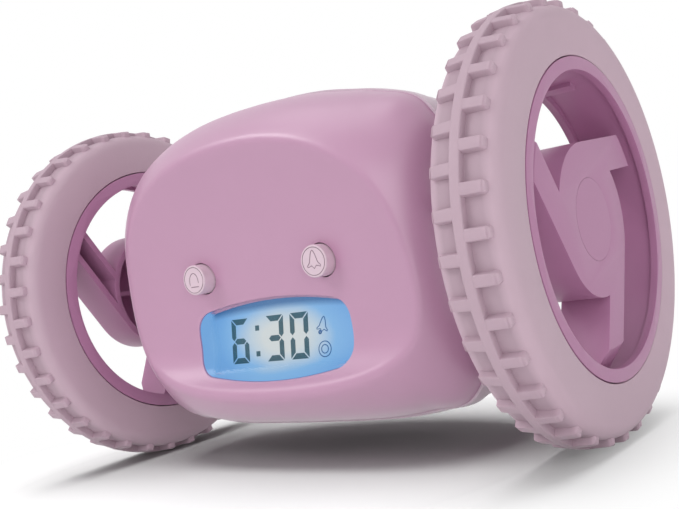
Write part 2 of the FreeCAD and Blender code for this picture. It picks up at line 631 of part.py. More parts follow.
def make_gearbox():
    plate = new_body("right_gear_plate")
    pad(plate, circle(new_sketch(plate, "YZ_Plane"), "plate_radius"), "plate_thick")
    sketch = new_sketch(plate, "YZ_Plane")
    rectangle(sketch, "motor_side - motor_radius - plate_margin", "0", "cluster_y + plate_ear",
              "motor_z + motor_flats / 2 + plate_margin")
    pad(plate, sketch, "plate_thick")
    sketch = new_sketch(plate, "YZ_Plane", "plate_thick")
    circle(sketch, "axle_radius + running_gap")
    circle(sketch, "cluster_pin_radius", ("cluster_y", "cluster_z"))
    circle(sketch, "motor_boss_radius", ("motor_side", "motor_z"))
    for centre in standoff_centres():
        circle(sketch, "board_screw_radius", centre)
    pocket(plate, sketch, "plate_thick")
    place(plate, "motor_face")

    cover = new_body("right_gear_cover")
    pad(cover, circle(new_sketch(cover, "YZ_Plane"), "plate_radius"), "plate_thick")
    sketch = new_sketch(cover, "YZ_Plane", "plate_face - cover_start")
    for centre in standoff_centres():
        circle(sketch, "standoff_radius", centre)
    pad(cover, sketch, "cover_start - plate_face")
    sketch = new_sketch(cover, "YZ_Plane", "plate_face - cover_start")
    for centre in standoff_centres():
        circle(sketch, "board_screw_radius", centre)
    pocket(cover, sketch, "board_screw_length", forward=True)
    sketch = new_sketch(cover, "YZ_Plane", "plate_thick")
    circle(sketch, "bush_radius")
    circle(sketch, "cluster_pin_radius", ("cluster_y", "cluster_z"))
    pocket(cover, sketch, "plate_thick")
    place(cover, "cover_start")

    bush = turned_body("right_bush", [
        ("-bush_flange", "axle_radius + running_gap"),
        ("side_boss_reach + bush_reach - cover_start", "axle_radius + running_gap"),
        ("side_boss_reach + bush_reach - cover_start", "bush_radius"), ("0", "bush_radius"),
        ("0", "bush_flange_radius"), ("-bush_flange", "bush_flange_radius")])
    place(bush, "cover_start")

    axle = turned_body("right_axle", [
        ("0", "0"), ("wheel_start + axle_stop - motor_face - wheel_screw_length", "0"),
        ("wheel_start + axle_stop - motor_face - wheel_screw_length", "wheel_screw_radius"),
        ("wheel_start + axle_stop - motor_face", "wheel_screw_radius"),
        ("wheel_start + axle_stop - motor_face", "axle_radius"), ("0", "axle_radius")])
    place(axle, "motor_face")


# ---------------------------------------------------------------- casing

def barrel(inset):
    """Solid barrel, superelliptic in section and along its length, inside the casing by inset."""
    half, deep, high = (size - inset for size in (sheet.case_half, sheet.case_deep, sheet.case_high))
    sections = []
    stations = round(sheet.station_end / sheet.station_step)
    for station in range(-stations, stations + 1):
        share = math.sin(math.radians(station * sheet.station_step))
        depth, crown, keel = (
            size * (1 - abs(share) ** along) ** (1 / across) for size, along, across in (
                (deep, sheet.end_power, sheet.bulge_power),
                (high, sheet.crown_end_power, sheet.crown_bulge_power),
                (high, sheet.keel_end_power, sheet.keel_bulge_power)))
        points = []
        for step in range(round(360 / sheet.section_step)):
            angle = math.radians(step * sheet.section_step)
            back, up = -math.cos(angle), math.sin(angle)
            power = sheet.foot_power if back < 0 and up < 0 else sheet.section_power
            grow = (abs(back) ** power + abs(up) ** power) ** (-1 / power)
            points.append(Vector(half * share, sheet.case_back + depth * grow * back,
                                 sheet.case_rise + (crown if up > 0 else keel) * grow * up))
        curve = Part.BSplineCurve()
        curve.interpolate(points, PeriodicFlag=True)
        sections.append(Part.Wire(curve.toShape()))
    return Part.makeLoft(sections, True, False)


def scoop(inset):
    """Everything in front of the hollow face, moved back by inset."""
    deepest = Vector(0, inset - sheet.scoop_front, -sheet.scoop_drop)
    edges = []
    ends = []
    for radius, sweep, side in ((sheet.scoop_top_radius, sheet.scoop_top_sweep, 1),
                                (sheet.scoop_foot_radius, sheet.scoop_foot_sweep, -1)):
        reach = radius + inset
        centre = deepest - Vector(0, reach, 0)
        middle, end = (centre + Vector(0, reach * math.cos(angle), side * reach * math.sin(angle))
                       for angle in (math.radians(sweep) / 2, math.radians(sweep)))
        edges.append(Part.Arc(deepest, middle, end).toShape())
        ends.append(end)
    top, foot = ends
    front = -2 * sheet.case_deep
    corners = [top, Vector(0, front, top.z), Vector(0, front, foot.z), foot]
    edges += [Part.LineSegment(corners[i], corners[i + 1]).toShape() for i in range(3)]
    face = Part.Face(Part.Wire(Part.__sortEdges__(edges)))
    pivot = Vector(0, -sheet.scoop_front - sheet.scoop_side_radius, 0)
    upright = Vector(0, 0, 1)
    face.rotate(pivot, upright, -sheet.scoop_side_sweep)
    return face.revolve(pivot, upright, 2 * sheet.scoop_side_sweep)


def crease(solid):
    """Edges where the barrel meets the hollow face."""
    front = -sheet.scoop_front
    chosen = []
    for edge in solid.Edges:
        box = edge.BoundBox
        level = box.ZLength < 0.01
        on_end = box.XLength < 0.01
        if not level and not on_end and box.YMin < front:
            chosen.append(edge)
    return chosen


def window_outline(grow):
    """Prism along Y of the window's outline, wider by grow all round."""
    half = sheet.window_half + grow
    top = sheet.window_height / 2 + grow
    low = top - sheet.window_crown
    side = half - sheet.window_bulge
    corners = [Vector(-side, 0, low), Vector(side, 0, low), Vector(side, 0, -low), Vector(-side, 0, -low)]
    crowns = [Vector(0, 0, top), Vector(half, 0, 0), Vector(0, 0, -top), Vector(-half, 0, 0)]
    edges = [Part.Arc(corners[i], crowns[i], corners[(i + 1) % 4]).toShape() for i in range(4)]
    face = Part.Face(Part.Wire(edges))
    prism = face.extrude(Vector(0, 2 * sheet.case_deep, 0))
    upright = [edge for edge in prism.Edges if edge.BoundBox.YLength > sheet.case_deep]
    prism = prism.makeFillet(sheet.window_corner + grow, upright)
    prism.translate(Vector(0, -2 * sheet.case_deep, -sheet.window_drop))
    return prism


def both_sides(solid):
    return solid.fuse(solid.mirror(Vector(), Vector(1, 0, 0)))


def case_screw_places():
    """Middle-left-right places of the four case screws."""
    for side, rise in ((sheet.top_post_side, sheet.top_post_rise),
                       (sheet.foot_post_side, -sheet.foot_post_drop)):
        for sign in (-1, 1):
            yield sign * side, rise


def board_screw_places():
    for side, rise in ((sheet.board_screw_side, sheet.board_screw_rise),
                       (sheet.board_foot_side, -sheet.board_foot_drop)):
        for sign in (-1, 1):
            yield sign * side, rise


def key_screw_places():
    for sign in (-1, 1):
        yield sign * sheet.key_screw_side, sheet.key_rise


def slab(front, back):
    """Everything between two planes across Y."""
    wide = 4 * sheet.case_half
    return block((-wide, front, -wide), (wide, back, wide))


def door_prism(gap, slope):
    """Block through the rear wall that frees the battery door, in the casing's frame."""
    reach = 2 * sheet.case_deep
    half = number("door_half") + gap
    low = -sheet.door_down - gap
    inner = sheet.door_up + gap - slope * number("door_half") / 2
    outer = sheet.door_up + gap + slope * reach / 2
    corners = [Vector(-half, 0, low), Vector(-half, reach, low), Vector(-half, reach, outer),
               Vector(-half, 0, inner)]
    prism = Part.Face(Part.makePolygon(corners + corners[:1])).extrude(Vector(2 * half, 0, 0))
    prism.Placement = row_placement()
    return prism


def row_placement():
    """The row of cells: X along the cells, Y out through the door, Z along the row."""
    return Placement(Vector(0, sheet.row_back, -sheet.row_drop), Rotation(Vector(1, 0, 0), -sheet.row_tilt))


def make_casing():
    wall = sheet.case_wall
    far = 2 * sheet.case_deep
    seam = -sheet.seam_front
    outer = barrel(0).cut(scoop(0))
    outer = outer.makeFillet(sheet.crease_radius, crease(outer))
    inner = barrel(wall)
    casing = outer.cut(inner.cut(scoop(wall)))

    rebate = barrel(wall / 2).cut(inner).common(slab(seam, seam + sheet.seam_lip + sheet.seam_gap))
    rear = casing.common(slab(seam, far)).cut(rebate)
    tongue = barrel(wall / 2 + sheet.seam_gap).cut(inner).common(slab(seam, seam + sheet.seam_lip))
    front = casing.common(slab(-far, seam)).fuse(tongue)
    posts = [cylinder(sheet.case_post_radius, -far, 0, spot, "y") for spot in case_screw_places()]
    back = -number("board_front")
    posts += [cylinder(sheet.board_post_radius, -far, back, spot, "y") for spot in board_screw_places()]
    front = front.fuse([post.common(outer).cut(rear) for post in posts])
    bores = [cylinder(sheet.case_screw_radius, sheet.case_screw_floor - sheet.case_screw_length, 0, spot, "y")
             for spot in case_screw_places()]
    depth = back + sheet.board_thick - sheet.board_screw_length
    bores += [cylinder(sheet.board_screw_radius, depth, back, spot, "y") for spot in board_screw_places()]
    hole = sheet.button_radius + sheet.button_gap
    bores += [cylinder(hole, -far, 0, (sign * sheet.button_side, sheet.button_rise), "y") for sign in (-1, 1)]
    ledge = sheet.lens_recess + sheet.lens_thick
    bores.append(window_outline(0).common(scoop(ledge)))
    bores.append(window_outline(-sheet.lens_ledge).common(slab(-far, back)))
    place(shape_node("front_shell", front.cut(bores)))

    lens = window_outline(-sheet.lens_gap).common(scoop(ledge).cut(scoop(sheet.lens_recess)))
    place(shape_node("window_lens", lens))

    boss = cylinder(sheet.side_boss_radius, number("cover_start + plate_thick"), sheet.side_boss_reach)
    spots = list(case_screw_places())
    added = [cylinder(sheet.case_sleeve_radius, 0, far, spot, "y").common(outer) for spot in spots]
    added += [cylinder(sheet.board_post_radius, number("key_board_back"), far, spot, "y").common(outer)
              for spot in key_screw_places()]
    speaker = (0, sheet.speaker_back)
    ring = sheet.speaker_radius + sheet.cell_gap
    floor = -sheet.speaker_drop + sheet.speaker_height / 2
    added.append(cylinder(ring + sheet.speaker_wall, -far, floor, speaker, "z").common(outer))
    rib = block((number("tray_half"), sheet.tray_rib_front, -far),
                (number("tray_half") + sheet.tray_rib, far, sheet.tray_rib_top))
    added.append(both_sides(rib.common(outer)))
    added.append(both_sides(boss))
    rear = rear.fuse(added)
    holes = [both_sides(cylinder(sheet.bush_radius, 0, far))]
    holes += [cylinder(sheet.case_screw_radius + sheet.screw_gap, 0, far, spot, "y") for spot in spots]
    holes += [cylinder(sheet.case_head_radius + sheet.screw_gap, sheet.case_screw_floor, far, spot, "y")
              for spot in spots]
    holes.append(cylinder(ring, -sheet.speaker_drop, 0, speaker, "z"))
    for index in range(int(sheet.slot_count)):
        step = (index - (sheet.slot_count - 1) / 2) * sheet.slot_pitch
        half = sheet.slot_length / 2 - abs(step) / 2
        holes.append(block((step - sheet.slot_width / 2, sheet.speaker_back - half, -far),
                           (step + sheet.slot_width / 2, sheet.speaker_back + half, 0)))
    for sign in (-1, 1):
        spot = (sign * sheet.key_side, sheet.key_rise)
        holes.append(cylinder(sheet.key_radius + sheet.key_gap, 0, far, spot, "y"))
        seat = sheet.key_radius + sheet.key_flange + sheet.key_gap
        holes.append(cylinder(seat, 0, sheet.key_seat, spot, "y"))
    depth = number("key_board_back - board_thick + board_screw_length")
    holes += [cylinder(sheet.board_screw_radius, 0, depth, spot, "y") for spot in key_screw_places()]
    holes.append(door_prism(sheet.door_gap, 0))
    place(shape_node("rear_shell", rear.cut(holes)))

    door = casing.common(door_prism(0, sheet.door_slope))
    place(shape_node("battery_door", door))


# ---------------------------------------------------------------- display, boards and buttons

def make_box(name, x, y, z, length, width, height):
    """Plain block, centred on x and standing on y and z."""
    box = node(doc.addObject("Part::Box", name), name)
    bind(box, Length=length, Width=width, Height=height)
    place(box, f"{x} - {length} / 2", y, z)
    return box


def make_display():
    low = "-window_drop - glass_height / 2"
    make_box("lcd_glass", "0", "-glass_front", low, "(2 * glass_half)", "glass_thick", "glass_height")
    make_box("light_guide", "0", "-board_front - guide_thick", f"{low} + connector_width", "(2 * glass_half)",
             "guide_thick", "glass_height - 2 * connector_width")
    frame = new_body("lcd_frame")
    half, rise = "glass_half + frame_wall", "glass_height / 2 + frame_wall"
    sketch = rectangle(new_sketch(frame, "XZ_Plane"), f"-({half})", f"-({rise})", half, rise)
    rectangle(sketch, "-glass_half", "-glass_height / 2", "glass_half", "glass_height / 2")
    pad(frame, sketch, "glass_thick + guide_thick")
    place(frame, "0", "-board_front", "-window_drop")

    strips = []
    height = sheet.connector_width
    for foot in (-sheet.glass_height / 2, sheet.glass_height / 2 - height):
        strips.append(Part.makeBox(2 * sheet.glass_half, sheet.guide_thick, height,
                                   Vector(-sheet.glass_half, 0, foot)))
    place(shape_node("lcd_connector", Part.makeCompound(strips)), "0", "-board_front - guide_thick",
          "-window_drop")


def make_boards():
    board = new_body("main_board")
    sketch = outline(new_sketch(board, "XZ_Plane"), [
        ("-board_foot_half", "-board_foot"), ("board_foot_half", "-board_foot"),
        ("board_half", "-board_waist"), ("board_half", "board_top"), ("-board_half", "board_top"),
        ("-board_half", "-board_waist")])
    for sign in ("-", ""):
        circle(sketch, "board_screw_radius", (f"{sign}board_screw_side", "board_screw_rise"))
        circle(sketch, "board_screw_radius", (f"{sign}board_foot_side", "-board_foot_drop"))
    pad(board, sketch, "board_thick")
    place(board, "0", "board_thick - board_front", "0")

    board = new_body("key_board")
    sketch = rectangle(new_sketch(board, "XZ_Plane"), "-key_board_half", "-key_board_height / 2",
                       "key_board_half", "key_board_height / 2")
    for sign in ("-", ""):
        circle(sketch, "board_screw_radius", (f"{sign}key_screw_side", "0"))
    pad(board, sketch, "board_thick")
    place(board, "0", "key_board_back", "key_rise")

    for name, side, rise, front, height, half in (
            ("button_switches", sheet.button_side, sheet.button_rise,
             -number("board_front") - sheet.switch_height, sheet.switch_height, sheet.switch_side / 2),
            ("key_switches", sheet.key_side, sheet.key_rise, number("key_board_back"),
             sheet.key_switch_height, sheet.key_switch_side / 2)):
        pair = [block((middle - half, front, rise - half), (middle + half, front + height, rise + half))
                for middle in (-side, side)]
        place(shape_node(name, Part.makeCompound(pair)))


def make_buttons():
    stem = "(board_front + switch_height + switch_clear + button_travel - button_seat)"
    front = "button_front - button_seat"
    for name, sign in (("snooze_button", "-"), ("alarm_button", "")):
        button = turned_body(name, [
            (stem, "0"), (front, "0"), (front, "button_radius - button_edge"),
            (f"{front} - button_edge", "button_radius"), ("0", "button_radius"),
            ("0", "button_radius + button_flange"), ("-button_flange_thick", "button_radius + button_flange"),
            ("-button_flange_thick", "button_stem"), (stem, "button_stem")])
        place(button, f"{sign}button_side", "-button_seat", "button_rise", FORWARD)
    reach = "key_reach - key_seat"
    for name, sign in (("hour_key", "-"), ("minute_key", "")):
        key = turned_body(name, [
            ("-key_flange_thick", "0"), (reach, "0"), (reach, "key_radius"), ("0", "key_radius"),
            ("0", "key_radius + key_flange"), ("-key_flange_thick", "key_radius + key_flange")])
        place(key, f"{sign}key_side", "key_seat", "key_rise", REARWARD)


def make_speaker():
    speaker = new_body("speaker")
    pad(speaker, circle(new_sketch(speaker, "XY_Plane"), "speaker_radius"), "speaker_height")
    sketch = circle(new_sketch(speaker, "XY_Plane", "speaker_height"), "speaker_radius / 2")
    pad(speaker, sketch, "speaker_wall / 2")
    place(speaker, "0", "speaker_back", "-speaker_drop")


# ---------------------------------------------------------------- cells

def row_spot(index):
    """Distance of a cell's axis from the row's middle, as expression text."""
    return f"(({index} - (cell_count - 1) / 2) * cell_pitch)"


def make_cells():
    tray = new_body("battery_tray")
    sketch = new_sketch(tray, "YZ_Plane", "-tray_half")
    end = "(cell_count * cell_pitch / 2 + tray_wall / 2)"
    rectangle(sketch, "-(cell_radius + cell_gap + tray_wall)", f"-{end}", "-tray_open", end)
    pad(tray, sketch, "2 * tray_half")
    sketch = new_sketch(tray, "YZ_Plane", "-bay_half")
    for index in range(int(sheet.cell_count)):
        circle(sketch, "cell_radius + cell_gap", ("0", row_spot(index)))
    pocket(tray, sketch, "2 * bay_half", forward=True)
    lean = Rotation(Vector(1, 0, 0), -sheet.row_tilt)
    place(tray, "0", "row_back", "-row_drop", lean)

    springs = []
    plates = []
    for index in range(int(sheet.cell_count)):
        sign = 1 if index % 2 else -1
        turn = lean.multiply(Rotation(Vector(0, 0, 1), 0 if sign > 0 else 180))
        body_end = "cell_length - nub_length"
        cell = turned_body(f"battery_{index + 1}", [
            ("0", "0"), ("cell_length", "0"), ("cell_length", "nub_radius"), (body_end, "nub_radius"),
            (body_end, "cell_radius"), ("0", "cell_radius")])
        spot = row_spot(index)
        place(cell, f"{-sign} * (cell_length / 2 + (spring_space - contact_thick) / -2)",
              f"row_back + {spot} * sin(row_tilt * 1deg)", f"-row_drop + {spot} * cos(row_tilt * 1deg)", turn)

        height = number(spot)
        bay = number("bay_half")
        wide, narrow, wire = sheet.spring_radius, sheet.nub_radius, sheet.spring_wire
        spring = Part.makeCone(wide, narrow, sheet.spring_space)
        spring = spring.cut(Part.makeCone(wide - wire, narrow - wire, sheet.spring_space))
        spring.Placement = Placement(Vector(-sign * bay, 0, height), Rotation(Vector(0, 1, 0), sign * 90))
        springs.append(spring)
        ends = sorted((sign * (bay - sheet.contact_thick), sign * bay))
        plates.append(cylinder(sheet.contact_radius, ends[0], ends[1], (0, height)))
    for name, pieces in (("contact_springs", springs), ("contact_plates", plates)):
        place(shape_node(name, Part.makeCompound(pieces)), "0", "row_back", "-row_drop", lean)


# ---------------------------------------------------------------- screws

def screw(radius, length, head_radius, head_height, spot, seat, sign):
    """Screw along Y: its head stands on the seat, its shank points to sign."""
    x, z = spot
    ends = sorted((seat, seat + sign * length))
    shank = cylinder(radius, ends[0], ends[1], (x, z), "y")
    ends = sorted((seat, seat - sign * head_height))
    return shank.fuse(cylinder(head_radius, ends[0], ends[1], (x, z), "y"))


def make_screws():
    case = [screw(sheet.case_screw_radius, sheet.case_screw_length, sheet.case_head_radius,
                  sheet.case_head_height, spot, sheet.case_screw_floor, -1) for spot in case_screw_places()]
    place(shape_node("case_screws", Part.makeCompound(case)))

    small = (sheet.board_screw_radius, sheet.board_screw_length, sheet.board_head_radius,
             sheet.board_head_height)
    back = sheet.board_thick - number("board_front")
    board = [screw(*small, spot, back, -1) for spot in board_screw_places()]
    front = number("key_board_back - board_thick")
    board += [screw(*small, spot, front, 1) for spot in key_screw_places()]
    place(shape_node("board_screws", Part.makeCompound(board)))

    box = []
    face = number("motor_face")
    for centre in standoff_centres():
        spot = (number(centre[0]), number(centre[1]))
        shank = cylinder(sheet.board_screw_radius, face, face + sheet.board_screw_length, spot)
        head = cylinder(sheet.board_head_radius, face - sheet.board_head_height, face, spot)
        piece = shank.fuse(head)
        box += [piece, piece.mirror(Vector(), Vector(1, 0, 0))]
    place(shape_node("gearbox_screws", Part.makeCompound(box)))


def mirror_left():
    """The left-hand pieces."""
    for item in [item for item in NODES if item.Label.startswith("right_")]:
        name = item.Label.replace("right_", "left_")
        copy = doc.addObject("Part::Mirroring", name)
        copy.Source = item
        copy.Normal = Vector(1, 0, 0)
        node(copy, name)


def check(items):
    for item in items:
        if {"Invalid", "Error"} & set(item.State):
            raise RuntimeError(f"{item.Label} failed: {item.State}")
    for item in NODES:
        if item.Shape.isNull() or not item.Shape.isValid() or item.Shape.Volume <= 0:
            raise RuntimeError(f"{item.Label} has no valid shape")


make_rim()
make_tyre()
make_wheel_fixings()
make_gear_train()
make_motor()
make_gearbox()
make_casing()
make_display()
make_boards()
make_buttons()
make_speaker()
make_cells()
make_screws()
doc.recompute()
mirror_left()
doc.recompute()
check(doc.Objects)

os.makedirs("parts", exist_ok=True)
for item in NODES:
    item.Shape.exportStep(f"parts/{item.Label}.step")
print(len(NODES), "sub-parts written")
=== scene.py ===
from math import cos, hypot, pi, radians, sin

import bpy
from mathutils import Euler, Matrix, Vector


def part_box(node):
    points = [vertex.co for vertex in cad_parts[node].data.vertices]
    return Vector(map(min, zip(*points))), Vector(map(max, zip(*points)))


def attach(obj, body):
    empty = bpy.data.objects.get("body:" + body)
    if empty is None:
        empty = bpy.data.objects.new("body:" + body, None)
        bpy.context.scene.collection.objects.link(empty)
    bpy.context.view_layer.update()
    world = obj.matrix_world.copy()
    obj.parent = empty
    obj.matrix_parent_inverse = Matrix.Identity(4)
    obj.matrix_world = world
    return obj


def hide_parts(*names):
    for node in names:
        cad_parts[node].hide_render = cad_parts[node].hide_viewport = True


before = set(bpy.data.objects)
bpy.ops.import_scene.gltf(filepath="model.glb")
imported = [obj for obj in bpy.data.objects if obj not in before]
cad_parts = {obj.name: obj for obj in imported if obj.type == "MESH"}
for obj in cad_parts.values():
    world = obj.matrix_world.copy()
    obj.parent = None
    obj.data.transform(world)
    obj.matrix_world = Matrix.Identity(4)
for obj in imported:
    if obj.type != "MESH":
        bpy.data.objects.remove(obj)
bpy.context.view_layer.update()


# measures and helpers for modelling

hair = 1e-5         # places that differ by less are the same
weldGap = 1e-6
wheelPlace = sum(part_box("right_rim"), Vector()) / 2     # middle of the right wheel, on its axis


def pickNothing():
    if bpy.context.object and bpy.context.object.mode != "OBJECT":
        bpy.ops.object.mode_set(mode="OBJECT")
    bpy.ops.object.select_all(action="DESELECT")


def pickOnly(piece):
    pickNothing()
    piece.select_set(True)
    bpy.context.view_layer.objects.active = piece


def editParts(piece, kind, wanted):  # edit mode with only the wanted parts of one kind selected
    pickOnly(piece)
    mesh = piece.data
    groups = {"VERT": mesh.vertices, "EDGE": mesh.edges, "FACE": mesh.polygons}
    for group in groups.values():
        group.foreach_set("select", [False] * len(group))
    for part in groups[kind]:
        part.select = wanted(part)
    bpy.ops.object.mode_set(mode="EDIT")
    bpy.ops.mesh.select_mode(type=kind)


def leaveEdit():
    bpy.ops.object.mode_set(mode="OBJECT")


def ends(piece, edge):
    return [piece.data.vertices[index].co for index in edge.vertices]


def applyAll(piece):
    pickOnly(piece)
    for modifier in list(piece.modifiers):
        bpy.ops.object.modifier_apply(modifier=modifier.name)


def settle(piece):  # the place goes into the mesh and the object stays at the origin
    pickOnly(piece)
    bpy.ops.object.transform_apply(location=True, rotation=True, scale=True)


def weld(piece):
    pickOnly(piece)
    bpy.ops.object.mode_set(mode="EDIT")
    bpy.ops.mesh.select_all(action="SELECT")
    bpy.ops.mesh.remove_doubles(threshold=weldGap)
    bpy.ops.mesh.normals_make_consistent(inside=False)
    leaveEdit()


def smoothShade(piece, angle):
    pickOnly(piece)
    bpy.ops.object.shade_smooth_by_angle(angle=radians(angle))


def twin(piece, name):
    other = piece.copy()
    other.data = piece.data.copy()
    other.name = name
    bpy.context.scene.collection.objects.link(other)
    return other


def joined(pieces, name):
    pickNothing()
    for piece in pieces:
        piece.select_set(True)
    bpy.context.view_layer.objects.active = pieces[0]
    bpy.ops.object.join()
    whole = bpy.context.object
    whole.name = name
    return whole


def mirrored(piece, name):
    other = twin(piece, name)
    other.scale.x = -1
    settle(other)
    weld(other)
    return other


def dress(piece, finish):
    piece.data.materials.clear()
    piece.data.materials.append(finish)


# camera

cameraView = {
    "place": (0.1370, -0.1752, 0.0430),
    "heading": 37.0,        # degrees left of straight ahead
    "lookUp": 0.3,
    "roll": -9.01,
    "focalPixels": 957.7,
    "imagePixels": 679,
    "sensor": 36.0,
    "nearest": 0.01,
}


def makeCamera():
    s = cameraView
    data = bpy.data.cameras.new("camera")
    data.sensor_width = s["sensor"]
    data.lens = s["focalPixels"] / s["imagePixels"] * s["sensor"]
    data.clip_start = s["nearest"]
    camera = bpy.data.objects.new("camera", data)
    bpy.context.scene.collection.objects.link(camera)
    aim = Euler((radians(90 + s["lookUp"]), 0, radians(s["heading"]))).to_matrix()
    camera.rotation_euler = (aim @ Matrix.Rotation(radians(s["roll"]), 3, "Z")).to_euler()
    camera.location = s["place"]
    bpy.context.scene.camera = camera
    print("camera ready")


makeCamera()


# materials

class Signal:  # one output of a shader node, used like a number
    def __init__(self, finish, output):
        self.finish = finish
        self.output = output

    def maths(self, operation, *values):
        return self.finish.add("ShaderNodeMath", {"operation": operation}, dict(enumerate(values)))

    def __add__(self, other):
        return self.maths("ADD", self, other)

    def __sub__(self, other):
        return self.maths("SUBTRACT", self, other)

    def __rsub__(self, other):
        return self.maths("SUBTRACT", other, self)

    def __mul__(self, other):
        return self.maths("MULTIPLY", self, other)

    def __truediv__(self, other):
        return self.maths("DIVIDE", self, other)

    def __pow__(self, other):
        return self.maths("POWER", self, other)

    def __lt__(self, other):
        return self.maths("LESS_THAN", self, other)

    def __abs__(self):
        return self.maths("ABSOLUTE", self)

    __radd__ = __add__

    def clipped(self):
        return self.finish.add("ShaderNodeClamp", {}, {"Value": self})


class Finish:
    def __init__(self, name, tree=None):
        if tree is None:
            self.material = bpy.data.materials.new(name)
            self.material.use_nodes = True
            tree = self.material.node_tree
        self.tree = tree
        self.tree.nodes.clear()

    def add(self, kind, settings, inputs, output=0):
        made = self.tree.nodes.new(kind)
        for key, value in settings.items():
            if key == "stops":
                while len(made.color_ramp.elements) < len(value):
                    made.color_ramp.elements.new(0.5)
                for element, (position, colour) in zip(made.color_ramp.elements, value):
                    element.position = position
                    element.color = colour
            else:
                setattr(made, key, value)
        for key, value in inputs.items():
            if isinstance(value, Signal):
                self.tree.links.new(value.output, made.inputs[key])
            else:
                made.inputs[key].default_value = value
        return Signal(self, made.outputs[output] if made.outputs else None)

    def point(self):
        return self.add("ShaderNodeTexCoord", {}, {}, "Object")

    def axes(self, point):
        parts = self.add("ShaderNodeSeparateXYZ", {}, {"Vector": point})
        outputs = parts.output.node.outputs
        return Signal(self, outputs[0]), Signal(self, outputs[1]), Signal(self, outputs[2])

    def noise(self, scale, detail, point=None):
        return self.add("ShaderNodeTexNoise", {}, {
            "Vector": point or self.point(), "Scale": scale, "Detail": detail})

    def blend(self, share, first, second):  # 6, 7 and output 2 are the mix node's colour sockets
        return self.add("ShaderNodeMix", {"data_type": "RGBA"}, {0: share, 6: first, 7: second}, 2)

    def bump(self, height, distance):
        return self.add("ShaderNodeBump", {}, {
            "Height": height, "Distance": distance, "Strength": 1.0})

    def close(self, shader, target="ShaderNodeOutputMaterial"):
        self.add(target, {}, {"Surface": shader})

    def surface(self, inputs):
        self.close(self.add("ShaderNodeBsdfPrincipled", {}, inputs))
        return self.material


def tone(red, green, blue):  # a screen colour, 0 to 255
    linear = [((part / 255 + 0.055) / 1.055) ** 2.4 for part in (red, green, blue)]
    return (*linear, 1.0)


def shade(colour, factor):
    return (*(part * factor for part in colour[:3]), 1.0)


plasticLook = {
    "cloud": 45,            # scale of the noise in the colour
    "fine": 2600,           # scale of the grain
    "roughRange": 0.1,
}


def mouldedPlastic(name, colour, rough=0.42, grain=0.000012, spread=0.03, specular=0.45):
    s = plasticLook
    finish = Finish(name)
    cloud = finish.noise(s["cloud"], 3)
    fine = finish.noise(s["fine"], 2)
    mottled = finish.blend(cloud, shade(colour, 1 - spread), shade(colour, 1 + spread))
    return finish.surface({
        "Base Color": mottled,
        "Roughness": fine * s["roughRange"] + (rough - s["roughRange"] / 2),
        "Normal": finish.bump(fine, grain),
        "Specular IOR Level": specular,
    })


rubberLook = {
    "cloud": 60,
    "pale": 1.04,
    "dull": 0.95,
    "fine": 1700,
    "rough": 0.5,
    "roughRange": 0.16,
    "grain": 0.00002,
    "specular": 0.35,
    "treadShadeTone": 0.6,            # painted shade on the tread
    "treadShadeShare": 0.34,
    "troughShadeShare": 0.18,    # painted shade added in the troughs between the lugs
    "troughStart": 0.0005,  # under the crest
    "troughRamp": 900,
    "shoulder": 0.0014,
    "shoulderRamp": 700,
}


def rubber(name, colour, node=None):  # with a tyre's node, painted shade darkens its tread, most in the troughs between the lugs
    s = rubberLook
    finish = Finish(name)
    cloud = finish.noise(s["cloud"], 4)
    fine = finish.noise(s["fine"], 3)
    mottleAndShade = finish.blend(cloud, shade(colour, s["dull"]), shade(colour, s["pale"]))
    if node:
        low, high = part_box(node)
        crest = (high.z - low.z) / 2
        x, y, z = finish.axes(finish.point())
        up = z - (low.z + high.z) / 2
        deep = (crest - s["troughStart"] - (y * y + up * up) ** 0.5) * s["troughRamp"]
        across = abs(x) - (low.x + high.x) / 2
        inside = (high.x - low.x) / 2 - s["shoulder"] - abs(across)
        # painted shade: the tread darker, the troughs darkest, where shade falls between the lugs
        share = deep.clipped() * s["troughShadeShare"] + s["treadShadeShare"]
        share = share * (inside * s["shoulderRamp"]).clipped()
        mottleAndShade = finish.blend(share, mottleAndShade, shade(colour, s["treadShadeTone"]))
    return finish.surface({
        "Base Color": mottleAndShade,
        "Roughness": fine * s["roughRange"] + s["rough"],
        "Normal": finish.bump(fine, s["grain"]),
        "Specular IOR Level": s["specular"],
    })


metalLook = {
    "stretch": 0.06,        # of the streaks, along the wheels' axis
    "streaks": 4200,
    "pale": 1.06,
    "dull": 0.86,
    "roughRange": 0.14,
    "grain": 0.000004,
}


def drawnMetal(name, colour, rough):
    s = metalLook
    finish = Finish(name)
    x, y, z = finish.axes(finish.point())
    along = finish.add("ShaderNodeCombineXYZ", {}, {"X": x * s["stretch"], "Y": y, "Z": z})
    streaks = finish.noise(s["streaks"], 3, along)
    return finish.surface({
        "Base Color": finish.blend(streaks, shade(colour, s["dull"]), shade(colour, s["pale"])),
        "Metallic": 1.0,
        "Roughness": streaks * s["roughRange"] + rough,
        "Normal": finish.bump(streaks, s["grain"]),
    })


boardLook = {
    "tracks": 160,
    "trackWidth": 0.03,
    "trackTone": 1.7,
    "trackShare": 0.5,
    "lane": 0.1,            # of the second kind of field between the tracks
    "rough": 0.3,
    "roughRange": 0.1,
    "trackRise": 0.00003,
}


def paintedBoard(name, colour):  # lacquered circuit board with faint tracks under the lacquer
    s = boardLook
    finish = Finish(name)
    tracks = finish.add("ShaderNodeTexBrick", {"offset": 0.5}, {
        "Vector": finish.point(), "Scale": s["tracks"], "Mortar Size": s["trackWidth"],
        "Color1": (0, 0, 0, 1), "Color2": (s["lane"], s["lane"], s["lane"], 1),
        "Mortar": (1, 1, 1, 1)})
    return finish.surface({
        "Base Color": finish.blend(tracks * s["trackShare"], colour, shade(colour, s["trackTone"])),
        "Roughness": tracks * s["roughRange"] + s["rough"],
        "Normal": finish.bump(tracks, s["trackRise"]),
    })


